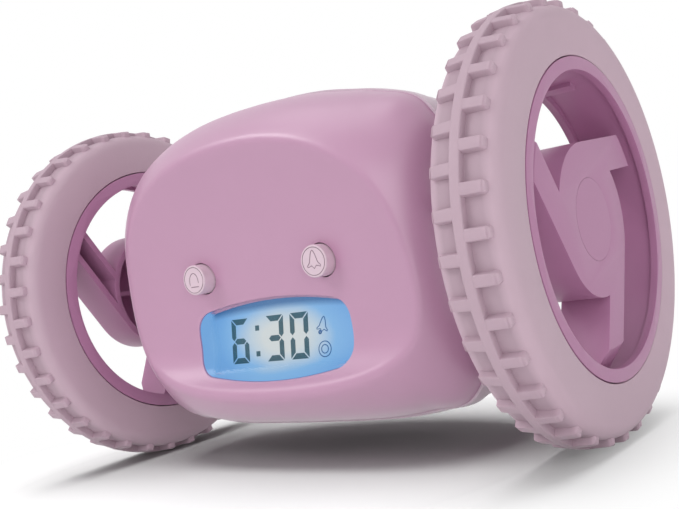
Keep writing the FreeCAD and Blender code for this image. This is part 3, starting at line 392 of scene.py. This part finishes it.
engravedLook = {
    "start": 0.00002,       # depth at which the painted shade starts
    "ramp": 16000,
    "share": 0.75,
    "cloud": 80,
    "spread": 0.03,
    "rough": 0.42,
    "grain": 0.000015,
}


def engravedPlastic(name, colour, centre, reach):  # painted shade darkens the lines sunk into its face
    s = engravedLook
    finish = Finish(name)
    x, y, z = finish.axes(finish.point())
    across, up = x - centre.x, z - centre.z
    out = (across * across + up * up) ** 0.5
    # painted shade: the engraved lines darker, where shade falls in them
    sunk = ((y - (centre.y + s["start"])) * s["ramp"]).clipped() * (out < reach)
    fine = finish.noise(plasticLook["fine"], 2)
    mottled = finish.blend(finish.noise(s["cloud"], 3), shade(colour, 1 - s["spread"]),
                           shade(colour, 1 + s["spread"]))
    return finish.surface({
        "Base Color": finish.blend(sunk * s["share"], mottled, palette["mark"]),
        "Roughness": fine * plasticLook["roughRange"] + s["rough"],
        "Normal": finish.bump(fine, s["grain"]),
    })


displayGlow = {
    "centre": (0.0004, -0.0146),    # across, and above the axle
    "reach": (0.0205, 0.0105),
    "stops": [                      # from the middle outwards
        (0.3, tone(208, 214, 214)),
        (0.48, tone(186, 204, 218)),
        (0.72, tone(126, 178, 226)),
        (1.0, tone(112, 166, 222)),
    ],
    "cloud": 140,
    "cloudRange": 0.12,
    "strength": 0.9,
}

windowLook = {
    "half": (0.0217, 0.00885),      # half-width and half-height of the opening
    "rise": -0.0144,                # of its middle, above the axle
    "border": (0.0046, 0.003),      # where painted display light fills the lens's border
    "borderFade": (0.0014, 0.001),
    "clear": 0.05,
    "filled": 0.94,
    "under": (0.01, 0.02, 0.03, 1.0),
    "haze": 900,
    "rough": 0.08,
    "roughRange": 0.05,
    "specular": 0.2,
}

glassLook = {
    "under": (0.02, 0.03, 0.04, 1.0),
    "shadow": tone(38, 84, 140),    # that the window's upper edge throws on the display
    "shadowShare": 0.85,
    "shadowRise": 0.0058,           # above the window's middle
    "shadowBow": 2.6,
    "shadowRamp": 700,
    "haze": 700,
    "rough": 0.35,
    "roughRange": 0.1,
}


def displayLight(finish):  # pale in the middle, blue towards the edges
    s = displayGlow
    x, y, z = finish.axes(finish.point())
    across = (x - s["centre"][0]) / s["reach"][0]
    up = (z - (wheelPlace.z + s["centre"][1])) / s["reach"][1]
    far = (across * across + up * up) ** 0.5
    cloud = finish.noise(s["cloud"], 2) * s["cloudRange"]
    return finish.add("ShaderNodeValToRGB", {"stops": s["stops"]},
                      {"Fac": far + cloud - s["cloudRange"] / 2})


def clearPlastic(name):  # clear, but its left and lower border glows with painted display light
    s = windowLook
    finish = Finish(name)
    x, y, z = finish.axes(finish.point())
    wide, high = (size - border for size, border in zip(s["half"], s["border"]))
    level = z - (wheelPlace.z + s["rise"])
    left = ((x * -1 - wide) / s["borderFade"][0]).clipped()
    low = ((level * -1 - high) / s["borderFade"][1]).clipped()
    # painted light: the lens's border glows like the display behind it
    filled = (left + low).clipped()
    return finish.surface({
        "Base Color": s["under"],
        "Roughness": finish.noise(s["haze"], 2) * s["roughRange"] + s["rough"],
        "Emission Color": displayLight(finish),
        "Emission Strength": displayGlow["strength"],
        "Alpha": filled * s["filled"] + s["clear"],
        "Specular IOR Level": s["specular"],
    })


def backlitGlass(name):
    s = glassLook
    finish = Finish(name)
    x, y, z = finish.axes(finish.point())
    level = z - (wheelPlace.z + windowLook["rise"]) + x * x * s["shadowBow"]
    shaded = ((level - s["shadowRise"]) * s["shadowRamp"]).clipped()
    return finish.surface({
        "Base Color": s["under"],
        "Roughness": finish.noise(s["haze"], 2) * s["roughRange"] + s["rough"],
        "Emission Color": finish.blend(shaded * s["shadowShare"], displayLight(finish), s["shadow"]),
        "Emission Strength": displayGlow["strength"],
    })


palette = {
    "shell": tone(189, 142, 172),
    "rear": tone(214, 196, 207),
    "tyre": tone(200, 173, 187),
    "rim": tone(180, 126, 162),
    "button": tone(216, 193, 205),
    # mark: painted shade in the buttons' engraved lines
    "mark": tone(120, 88, 106),
    "digit": tone(36, 84, 98),
    "icon": tone(36, 92, 150),
}

finishes = {
    "case_front": mouldedPlastic("shell plastic", palette["shell"], 0.36, grain=0.000008,
                                 spread=0.02, specular=0.95),
    "case_rear": mouldedPlastic("rear plastic", palette["rear"], 0.45),
    "tyre": rubber("soft tyre", palette["tyre"], "right_tyre"),
    "rim": mouldedPlastic("rim plastic", palette["rim"], 0.42),
    "button": mouldedPlastic("button plastic", palette["button"], 0.48, grain=0.00002),
    "lens": clearPlastic("clear window"),
    "display": backlitGlass("backlit glass"),
    "guide": mouldedPlastic("diffuser plastic", tone(236, 240, 244), 0.35),
    "frame": mouldedPlastic("black frame plastic", tone(38, 38, 42), 0.5),
    "contact_rubber": rubber("contact rubber", tone(70, 72, 76)),
    "board": paintedBoard("board lacquer", tone(30, 92, 58)),
    "switch": mouldedPlastic("switch plastic", tone(52, 52, 56), 0.4),
    "gear": mouldedPlastic("gear plastic", tone(232, 228, 214), 0.3),
    "gearbox": mouldedPlastic("gearbox plastic", tone(210, 210, 206), 0.4),
    "steel": drawnMetal("drawn steel", tone(196, 198, 202), 0.22),
    "brass": drawnMetal("brass", tone(214, 176, 104), 0.28),
    "cell": drawnMetal("cell sleeve", tone(120, 126, 136), 0.3),
    "tray": mouldedPlastic("tray plastic", tone(196, 172, 188), 0.45),
    "speaker": mouldedPlastic("sounder plastic", tone(44, 44, 48), 0.5),
}


def dressNodes():  # each CAD piece comes with one plain material, named after its slot
    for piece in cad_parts.values():
        dress(piece, finishes[piece.data.materials[0].name])
    print("nodes dressed")


dressNodes()


# casing: both halves are squarer where they meet, and the front half's edge stands back there

casingShape = {
    "seam": -0.0099,
    "corners": [                # place across and above the axle, move outward and upward, fade
        ((0.041, 0.023), (0.0004, 0.0026), 0.014),
        ((0.034, 0.0298), (0.0002, 0.0011), 0.013),
        ((0.041, -0.028), (0.0005, -0.002), 0.010),
    ],
    "cornerReach": 0.0025,      # round a corner's place, what moves with it in full
    "band": 0.001,              # depth of the edge that moves as a whole
    "stepBack": (0.99, 0.989),
    "stepFade": 0.012,
    "smooth": 34,               # degrees, as in the other settings
}


def mergedCopy(node, name):  # the CAD piece with its corners merged, without the frame's marks
    piece = twin(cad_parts[node], name)
    for key in list(piece.keys()):
        del piece[key]
    piece.parent = None
    pickOnly(piece)
    bpy.ops.mesh.customdata_custom_splitnormals_clear()
    editParts(piece, "FACE", lambda face: True)
    bpy.ops.mesh.remove_doubles(threshold=weldGap)
    leaveEdit()
    return piece


def pushAround(piece, spot, move, reach, fade):
    editParts(piece, "VERT", lambda corner: (corner.co - spot).length < reach)
    bpy.ops.transform.translate(value=move, use_proportional_edit=True,
                                proportional_edit_falloff="SMOOTH", proportional_size=fade)
    leaveEdit()


def finishHalf(piece, node, finish):
    smoothShade(piece, casingShape["smooth"])
    dress(piece, finishes[finish])
    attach(piece, "casing")
    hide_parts(node)


def placeCasing():
    s = casingShape
    front = mergedCopy("front_shell", "casingFront")
    rear = mergedCopy("rear_shell", "casingRear")
    for piece in (front, rear):
        for (across, rise), (outward, upward), fade in s["corners"]:
            for side in (-1, 1):
                spot = Vector((side * across, s["seam"], wheelPlace.z + rise))
                move = Vector((side * outward, 0, upward))
                pushAround(piece, spot, move, s["cornerReach"], fade)
    seam = s["seam"] - s["band"]
    middle = (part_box("front_shell")[0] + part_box("front_shell")[1]) / 2
    middle.y = seam
    editParts(front, "VERT", lambda corner: corner.co.y > seam)
    wide, high = s["stepBack"]
    bpy.ops.transform.resize(value=(wide, 1, high), center_override=middle, use_proportional_edit=True,
                             proportional_edit_falloff="SMOOTH", proportional_size=s["stepFade"])
    leaveEdit()
    finishHalf(front, "front_shell", "case_front")
    finishHalf(rear, "rear_shell", "case_rear")
    print("casing ready")


placeCasing()


# signs on the display

wireShape = {
    "sides": 1,             # bevel resolution, where 0 gives four sides
    "steps": 6,             # between the points of a smooth line
}

displaySigns = {
    "middle": -0.0147,      # above the axle
    "height": 0.0100,
    "width": 0.0051,
    "stroke": 0.00128,
    "cut": 0.00022,
    "lean": -0.14,
    "digits": [(-0.0124, "afgedc"), (-0.0021, "abgcd"), (0.0049, "abcdef")],
    "colon": -0.0072,
    "dotRise": (0.0026, -0.0031),
    "dotSize": 0.00115,
    "bell": (0.0114, 0.0019),       # across, and above the signs' middle
    "bellSize": 0.0018,
    "bellTilt": -0.22,
    "clapper": (-0.0008, -0.0016),  # from the bell's middle
    "clapperRadius": 0.0003,
    "clapperLine": 1.8,             # times as wide as the other lines
    "ring": (0.0117, -0.0033),
    "ringRadii": (0.0009, 0.00165),
    "line": 0.00012,
    "iconDepth": 0.25,              # of a round line's own
    "thick": 0.00005,
    "lift": 0.00004,
}


def plate(name, corners, thick):  # flat piece in the plane of the face, drawn by its corners
    flat = bpy.data.curves.new(name, "CURVE")
    flat.dimensions = "2D"
    flat.fill_mode = "BOTH"
    flat.extrude = thick / 2
    line = flat.splines.new("POLY")
    line.points.add(len(corners) - 1)
    for point, (across, up) in zip(line.points, corners):
        point.co = (across, up, 0, 1)
    line.use_cyclic_u = True
    piece = bpy.data.objects.new(name, flat)
    bpy.context.scene.collection.objects.link(piece)
    pickOnly(piece)
    bpy.ops.object.convert(target="MESH")
    piece = bpy.context.object
    piece.rotation_euler.x = pi / 2
    settle(piece)
    weld(piece)
    return piece


def wire(name, corners, radius, closed=True, order=2):  # round line in the plane of the face
    curve = bpy.data.curves.new(name, "CURVE")
    curve.dimensions = "3D"
    curve.bevel_depth = radius
    curve.bevel_resolution = wireShape["sides"]
    curve.use_fill_caps = not closed
    curve.resolution_u = wireShape["steps"]
    line = curve.splines.new("NURBS" if order > 2 else "POLY")
    line.points.add(len(corners) - 1)
    for point, (across, up) in zip(line.points, corners):
        point.co = (across, 0, up, 1)
    if order > 2:
        line.order_u = order
        line.use_endpoint_u = not closed
    line.use_cyclic_u = closed
    piece = bpy.data.objects.new(name, curve)
    bpy.context.scene.collection.objects.link(piece)
    pickOnly(piece)
    bpy.ops.object.convert(target="MESH")
    piece = bpy.context.object
    weld(piece)
    return piece


def ringCorners(radius, centre, count=24):
    angles = [2 * pi * step / count for step in range(count)]
    return [(centre[0] + radius * cos(angle), centre[1] + radius * sin(angle)) for angle in angles]


bellShape = {
    "half": [(0.0, 0.92), (0.13, 0.82), (0.28, 0.5), (0.4, 0.1), (0.5, -0.25), (0.8, -0.55),
             (0.76, -0.7)],
    "mouth": [(0.28, -0.56), (0.0, -0.86), (-0.28, -0.56)],
}


def bellCorners(size, centre, tilt=0.0):
    half = bellShape["half"]
    whole = half + bellShape["mouth"] + [(-across, up) for across, up in half[:0:-1]]
    turned = [(across * cos(tilt) - up * sin(tilt), across * sin(tilt) + up * cos(tilt))
              for across, up in whole]
    return [(centre[0] + across * size, centre[1] + up * size) for across, up in turned]


def digitBars():  # one flat, one upright and one middle bar, and how each letter's bar is mirrored
    s = displaySigns
    half, high, stroke, cut = s["width"] / 2, s["height"] / 2, s["stroke"], s["cut"]
    flatBar = plate("flatBar", [
        (cut - half, high), (half - cut, high), (half - stroke - cut, high - stroke),
        (stroke + cut - half, high - stroke)], s["thick"])
    sideBar = plate("sideBar", [
        (-half, high - cut), (stroke - half, high - stroke - cut),
        (stroke - half, cut + stroke / 2), (stroke / 2 - half, cut), (-half, cut + stroke / 2)],
        s["thick"])
    midBar = plate("midBar", [
        (stroke / 2 + cut - half, 0), (stroke + cut - half, stroke / 2),
        (half - stroke - cut, stroke / 2), (half - stroke / 2 - cut, 0),
        (half - stroke - cut, -stroke / 2), (stroke + cut - half, -stroke / 2)], s["thick"])
    return {"a": (flatBar, 1, 1), "d": (flatBar, 1, -1), "f": (sideBar, 1, 1), "b": (sideBar, -1, 1),
            "e": (sideBar, 1, -1), "c": (sideBar, -1, -1), "g": (midBar, 1, 1)}


def placeSigns():
    s = displaySigns
    bars = digitBars()
    pieces = []
    for across, letters in s["digits"]:
        for letter in letters:
            bar, sideways, upright = bars[letter]
            other = twin(bar, "bar")
            mirror = Matrix.Diagonal((sideways, 1, upright, 1))
            other.data.transform(Matrix.Translation((across, 0, 0)) @ mirror)
            if sideways * upright < 0:
                other.data.flip_normals()
            pieces.append(other)
    dot = s["dotSize"] / 2
    for rise in s["dotRise"]:
        corners = [(-dot, -dot), (dot, -dot), (dot, dot), (-dot, dot)]
        mark = plate("dot", corners, s["thick"])
        mark.data.transform(Matrix.Translation((s["colon"], 0, rise)))
        pieces.append(mark)
    for letter in "afg":
        bpy.data.objects.remove(bars[letter][0])
    digits = joined(pieces, "displayDigits")
    clapper = [middle + shift for middle, shift in zip(s["bell"], s["clapper"])]
    marks = [wire("bell", bellCorners(s["bellSize"], s["bell"], s["bellTilt"]), s["line"]),
             wire("clapper", ringCorners(s["clapperRadius"], clapper, 10),
                  s["line"] * s["clapperLine"])]
    marks += [wire("ring", ringCorners(radius, s["ring"]), s["line"]) for radius in s["ringRadii"]]
    icons = joined(marks, "displayIcons")
    icons.data.transform(Matrix.Diagonal((1, s["iconDepth"], 1, 1)))
    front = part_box("lcd_glass")[0].y - s["lift"]
    lean = Matrix.Identity(4)
    lean[0][2] = -s["lean"]
    for piece, colour in ((digits, palette["digit"]), (icons, palette["icon"])):
        piece.data.transform(Matrix.Translation((0, front, wheelPlace.z + s["middle"])) @ lean)
        dress(piece, mouldedPlastic(f"{piece.name} ink", colour, 0.5, grain=0.000001,
                                    spread=0.05, specular=0.2))
        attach(piece, "casing")
    print("display signs ready")


placeSigns()


# buttons

buttonShape = {
    "segments": 64,
    "seat": 0.0058,         # from the front to the flange
    "flangeThick": 0.001,
    "flangeReach": 0.0011,
    "stem": 0.0015,
    "land": 0.00042,        # from the edge to the engraved ring
    "ring": 0.00016,
    "deep": 0.00016,
    "edge": 0.00028,
    "edgeSteps": 4,
    "sign": 0.0021,
    "signRise": 0.0003,
    "line": 0.00013,
    "dome": [(-0.62, -0.5), (-0.66, 0.1), (-0.4, 0.62), (0.05, 0.8), (0.48, 0.55), (0.66, 0.0),
             (0.62, -0.35)],
    "base": [(-0.5, -0.72), (0.62, -0.72)],
    "smooth": 32,
}


def makeButton(node):
    s = buttonShape
    low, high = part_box(node)
    centre = (low + high) / 2
    radius = (high.x - low.x) / 2 - s["flangeReach"]
    centre.y = low.y
    pickNothing()
    bpy.ops.mesh.primitive_cylinder_add(
        vertices=s["segments"], radius=radius, depth=s["seat"],
        location=centre + Vector((0, s["seat"] / 2, 0)), rotation=(pi / 2, 0, 0))
    cap = bpy.context.object
    settle(cap)
    front = low.y + hair
    editParts(cap, "EDGE", lambda edge: all(end.y < front for end in ends(cap, edge)))
    bpy.ops.mesh.bevel(offset=s["edge"], segments=s["edgeSteps"])
    leaveEdit()
    editParts(cap, "FACE", lambda face: face.center.y < front and face.area > radius ** 2)
    bpy.ops.mesh.inset(thickness=s["land"] - s["edge"])
    bpy.ops.mesh.inset(thickness=s["ring"])
    leaveEdit()
    reach = radius - s["land"]

    def inRing(face):
        out = hypot(face.center.x - centre.x, face.center.z - centre.z)
        return face.center.y < front and reach - s["ring"] < out < reach

    editParts(cap, "FACE", inRing)
    bpy.ops.mesh.extrude_region()
    bpy.ops.transform.translate(value=(0, s["deep"], 0))
    leaveEdit()
    back = low.y + s["seat"] - hair
    editParts(cap, "FACE", lambda face: face.center.y > back)
    flange = radius + s["flangeReach"]
    stemLength = high.y - low.y - s["seat"] - s["flangeThick"]
    for size, length in ((flange / radius, s["flangeThick"]), (s["stem"] / flange, stemLength)):
        bpy.ops.mesh.extrude_region()
        bpy.ops.transform.resize(value=(size, 1, size), center_override=centre)
        bpy.ops.mesh.extrude_region()
        bpy.ops.transform.translate(value=(0, length, 0))
    leaveEdit()
    return cap, centre, radius


def placeButtons():
    s = buttonShape
    size = s["sign"]
    dome, base = ([(across * size, up * size) for across, up in s[key]] for key in ("dome", "base"))
    for node, name, body in (("snooze_button", "buttonLeft", "snooze"),
                             ("alarm_button", "buttonRight", "alarm")):
        cap, centre, radius = makeButton(node)
        if body == "alarm":
            lines = [wire("bell", bellCorners(size, (0, s["signRise"])), s["line"])]
        else:
            lines = [wire("dome", dome, s["line"], closed=False, order=4),
                     wire("base", base, s["line"], closed=False)]
        for line in lines:
            line.data.transform(Matrix.Translation(centre))
            cut = cap.modifiers.new("engrave", "BOOLEAN")
            cut.object = line
            cut.operation = "DIFFERENCE"
            cut.solver = "EXACT"
            applyAll(cap)
            bpy.data.objects.remove(line)
        cap.name = name
        smoothShade(cap, s["smooth"])
        reach = radius - s["edge"]
        dress(cap, engravedPlastic(f"{name} plastic", palette["button"], centre, reach))
        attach(cap, body)
        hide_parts(node)
    print("buttons ready")


placeButtons()


# tyres

tyreShape = {
    "treadDepth": 0.0016,
    "innerRadius": 0.0312,
    "relief": 0.0003,
    "reliefSteps": 2,
    "shoulder": 0.0032,
    "shoulderSteps": 7,
    "ribWidth": 0.002,
    "lugs": 36,
    "lugTip": 0.0022,
    "lugFoot": 0.0026,
    "lugInset": 0.0016,
    "lugFall": 0.0005,
    "lugSink": 0.0009,
    "lugRound": 0.0007,
    "roundSteps": 4,
    "lugEdge": 0.0003,      # and the rib's
    "edgeSteps": 3,
    "turn": -0.8,           # degrees, outer row
    "segments": 180,
    "smooth": 32,
}


def makeCarcass(centre, width, crest):  # the tyre without its lugs, with the middle rib
    s = tyreShape
    tread = crest - s["treadDepth"]

    def radius(point):
        return hypot(point.y - centre.y, point.z - centre.z)

    pickNothing()
    bpy.ops.mesh.primitive_cylinder_add(
        vertices=s["segments"], radius=tread, depth=width, end_fill_type="NOTHING",
        location=centre, rotation=(0, pi / 2, 0))
    tyre = bpy.context.object
    settle(tyre)
    editParts(tyre, "FACE", lambda face: True)
    for side in (-1, 1):            # the rib's two edges
        edge = centre + Vector((side * s["ribWidth"] / 2, 0, 0))
        bpy.ops.mesh.select_all(action="SELECT")
        bpy.ops.mesh.bisect(plane_co=edge, plane_no=(1, 0, 0))
    leaveEdit()
    editParts(tyre, "FACE", lambda face: abs(face.center.x - centre.x) < s["ribWidth"] / 2)
    bpy.ops.mesh.extrude_region()
    grow = crest / tread
    bpy.ops.transform.resize(value=(1, grow, grow), center_override=centre)
    leaveEdit()

    def atSide(edge):
        return all(abs(abs(end.x - centre.x) - width / 2) < hair for end in ends(tyre, edge))

    def ring(at, offset=None):      # edges at one radius, and at one distance from the middle plane
        return lambda edge: all(
            abs(radius(end) - at) < hair
            and (offset is None or abs(abs(end.x - centre.x) - offset) < hair)
            for end in ends(tyre, edge))

    editParts(tyre, "EDGE", atSide)
    bpy.ops.mesh.extrude_edges_move()
    shrink = s["innerRadius"] / tread
    bpy.ops.transform.resize(value=(1, shrink, shrink), center_override=centre)
    leaveEdit()
    editParts(tyre, "EDGE", ring(s["innerRadius"]))
    bpy.ops.mesh.bridge_edge_loops()
    leaveEdit()
    weld(tyre)
    for at, offset, size, steps in (
            (tread, width / 2, s["shoulder"], s["shoulderSteps"]),
            (s["innerRadius"], width / 2, s["relief"], s["reliefSteps"]),
            (crest, s["ribWidth"] / 2, s["lugEdge"], s["edgeSteps"])):
        editParts(tyre, "EDGE", ring(at, offset))
        bpy.ops.mesh.bevel(offset=size, segments=steps)
        leaveEdit()
    return tyre


def makeLug(centre, width, crest):  # the top lug of the outer row, sunk into the tread
    s = tyreShape
    reach = width / 2 - s["lugInset"]
    root = crest - s["treadDepth"] - s["lugSink"]
    pickNothing()
    bpy.ops.mesh.primitive_cube_add(
        size=1, location=centre + Vector((reach / 2, 0, (root + crest) / 2)),
        scale=(reach, s["lugFoot"], crest - root))
    lug = bpy.context.object
    settle(lug)
    top = centre.z + crest - hair
    inner = centre.x + hair
    editParts(lug, "FACE", lambda face: face.center.z > top)
    bpy.ops.transform.resize(value=(1, s["lugTip"] / s["lugFoot"], 1))
    leaveEdit()
    editParts(lug, "VERT", lambda corner: corner.co.z > top and corner.co.x > inner)
    bpy.ops.transform.translate(value=(0, 0, -s["lugFall"]))
    leaveEdit()
    outer = centre.x + reach - hair
    editParts(lug, "EDGE", lambda edge: all(end.x > outer for end in ends(lug, edge))
              and abs(ends(lug, edge)[0].z - ends(lug, edge)[1].z) > s["treadDepth"])
    bpy.ops.mesh.bevel(offset=s["lugRound"], segments=s["roundSteps"])
    leaveEdit()
    editParts(lug, "EDGE", lambda edge: all(end.z > top - s["lugFall"] for end in ends(lug, edge))
              and any(end.x > inner for end in ends(lug, edge)))
    bpy.ops.mesh.bevel(offset=s["lugEdge"], segments=s["edgeSteps"])
    leaveEdit()
    return lug


def makeTyre():
    s = tyreShape
    low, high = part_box("right_tyre")
    centre = (low + high) / 2
    width, crest = high.x - low.x, (high.z - low.z) / 2
    pieces = [makeCarcass(centre, width, crest)]
    lug = makeLug(centre, width, crest)
    away = Matrix.Translation(centre)
    for row in (0, 1):
        for index in range(s["lugs"]):
            angle = s["turn"] + (index - row / 2) * 360 / s["lugs"]
            other = twin(lug, "lug")
            flip = Matrix.Scale(-1, 4, (1, 0, 0)) if row else Matrix.Identity(4)
            turn = Matrix.Rotation(radians(angle), 4, "X")
            other.data.transform(away @ turn @ flip @ away.inverted())
            if row:
                other.data.flip_normals()
            pieces.append(other)
    bpy.data.objects.remove(lug)
    tyre = joined(pieces, "tyreRight")
    smoothShade(tyre, s["smooth"])
    dress(tyre, finishes["tyre"])
    return tyre


def placeTyres():
    right = makeTyre()
    left = mirrored(right, "tyreLeft")
    for tyre, side in ((right, "right"), (left, "left")):
        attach(tyre, f"{side}_wheel")
        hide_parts(f"{side}_tyre")
    print("tyres ready")


placeTyres()


# rims

rimShape = {
    "flat": 0.4,        # degrees, faces that differ by less become one
    "round": 0.0003,
    "roundSteps": 3,
    "sharp": 32,        # degrees, edges sharper than this are rounded
    "smooth": 34,
}


def placeRims():
    s = rimShape
    for side in ("right", "left"):
        rim = mergedCopy(f"{side}_rim", f"rim{side.capitalize()}")
        editParts(rim, "FACE", lambda face: True)
        bpy.ops.mesh.dissolve_limited(angle_limit=radians(s["flat"]))
        leaveEdit()
        bevel = rim.modifiers.new("round", "BEVEL")
        bevel.width = s["round"]
        bevel.segments = s["roundSteps"]
        bevel.limit_method = "ANGLE"
        bevel.angle_limit = radians(s["sharp"])
        bevel.use_clamp_overlap = True
        bevel.harden_normals = False
        applyAll(rim)
        smoothShade(rim, s["smooth"])
        dress(rim, finishes["rim"])
        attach(rim, f"{side}_wheel")
        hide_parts(f"{side}_rim")
    print("rims ready")


placeRims()


# floor and light

studio = {
    "floorSize": 6.0,
    "floorTone": 0.33,
    "floorSeen": 0.37,      # the floor as the camera sees it
    "whiteCentre": (-0.012, -0.012),
    "whiteFrom": 0.066,     # from there outwards the floor fades to white
    "whiteTo": 0.102,
    "ambient": 0.48,
    "lamps": [              # name, place, size, power
        ("key", (-0.37, -0.50, 0.60), 0.35, 2.0),
        ("top", (-0.08, -0.05, 0.74), 0.5, 0.9),
        ("right", (0.62, -0.70, 0.30), 0.7, 2.5),
        ("floorLamp", (-0.05, 0.01, 0.72), 0.7, 16.5),       # lights the floor only
    ],
}


def rays(finish, *kinds):  # 1 for light rays of these kinds
    outputs = finish.add("ShaderNodeLightPath", {}, {}).output.node.outputs
    return sum(Signal(finish, outputs[f"Is {kind} Ray"]) for kind in kinds).clipped()


def whiteRays(finish):  # those that see the backdrop directly, mirrored or through glass
    return rays(finish, "Camera", "Glossy", "Transmission")


def makeFloor():
    s = studio
    pickNothing()
    bpy.ops.mesh.primitive_plane_add(size=s["floorSize"])
    floor = bpy.context.object
    floor.name = "floor"
    finish = Finish("floor")
    x, y, z = finish.axes(finish.point())
    across, along = x - s["whiteCentre"][0], y - s["whiteCentre"][1]
    far = (across * across + along * along) ** 0.5
    fade = ((far - s["whiteFrom"]) / (s["whiteTo"] - s["whiteFrom"])).clipped()
    seen = whiteRays(finish)
    level = seen * (s["floorSeen"] - s["floorTone"]) + s["floorTone"]
    pale = finish.add("ShaderNodeCombineColor", {}, {0: level, 1: level, 2: level})
    base = finish.add("ShaderNodeBsdfDiffuse", {}, {"Color": pale})
    white = finish.add("ShaderNodeEmission", {}, {"Strength": 1.0})
    share = (seen * fade + rays(finish, "Glossy")).clipped()
    finish.close(finish.add("ShaderNodeMixShader", {}, {0: share, 1: base, 2: white}))
    dress(floor, finish.material)


def makeLight():
    s = studio
    world = bpy.data.worlds.new("studio")
    world.use_nodes = True
    bpy.context.scene.world = world
    finish = Finish("studio", world.node_tree)
    dim = finish.add("ShaderNodeBackground", {}, {"Strength": s["ambient"]})
    white = finish.add("ShaderNodeBackground", {}, {"Strength": 1.0})
    for background in (dim, white):
        background.output.node.inputs["Color"].default_value = (1.0, 1.0, 1.0, 1.0)
    both = finish.add("ShaderNodeMixShader", {}, {0: whiteRays(finish), 1: dim, 2: white})
    finish.close(both, "ShaderNodeOutputWorld")
    target = Vector((0, 0, wheelPlace.z))
    for name, place, size, power in s["lamps"]:
        data = bpy.data.lights.new(name, "AREA")
        data.size = size
        data.energy = power
        lamp = bpy.data.objects.new(name, data)
        lamp.location = place
        lamp.rotation_euler = (target - Vector(place)).to_track_quat("-Z", "Y").to_euler()
        bpy.context.scene.collection.objects.link(lamp)
        if name == "floorLamp":
            receivers = bpy.data.collections.new("floorOnly")
            receivers.objects.link(bpy.data.objects["floor"])
            lamp.light_linking.receiver_collection = receivers
    bpy.context.scene.view_settings.view_transform = "Standard"
    print("studio ready")


makeFloor()
makeLight()
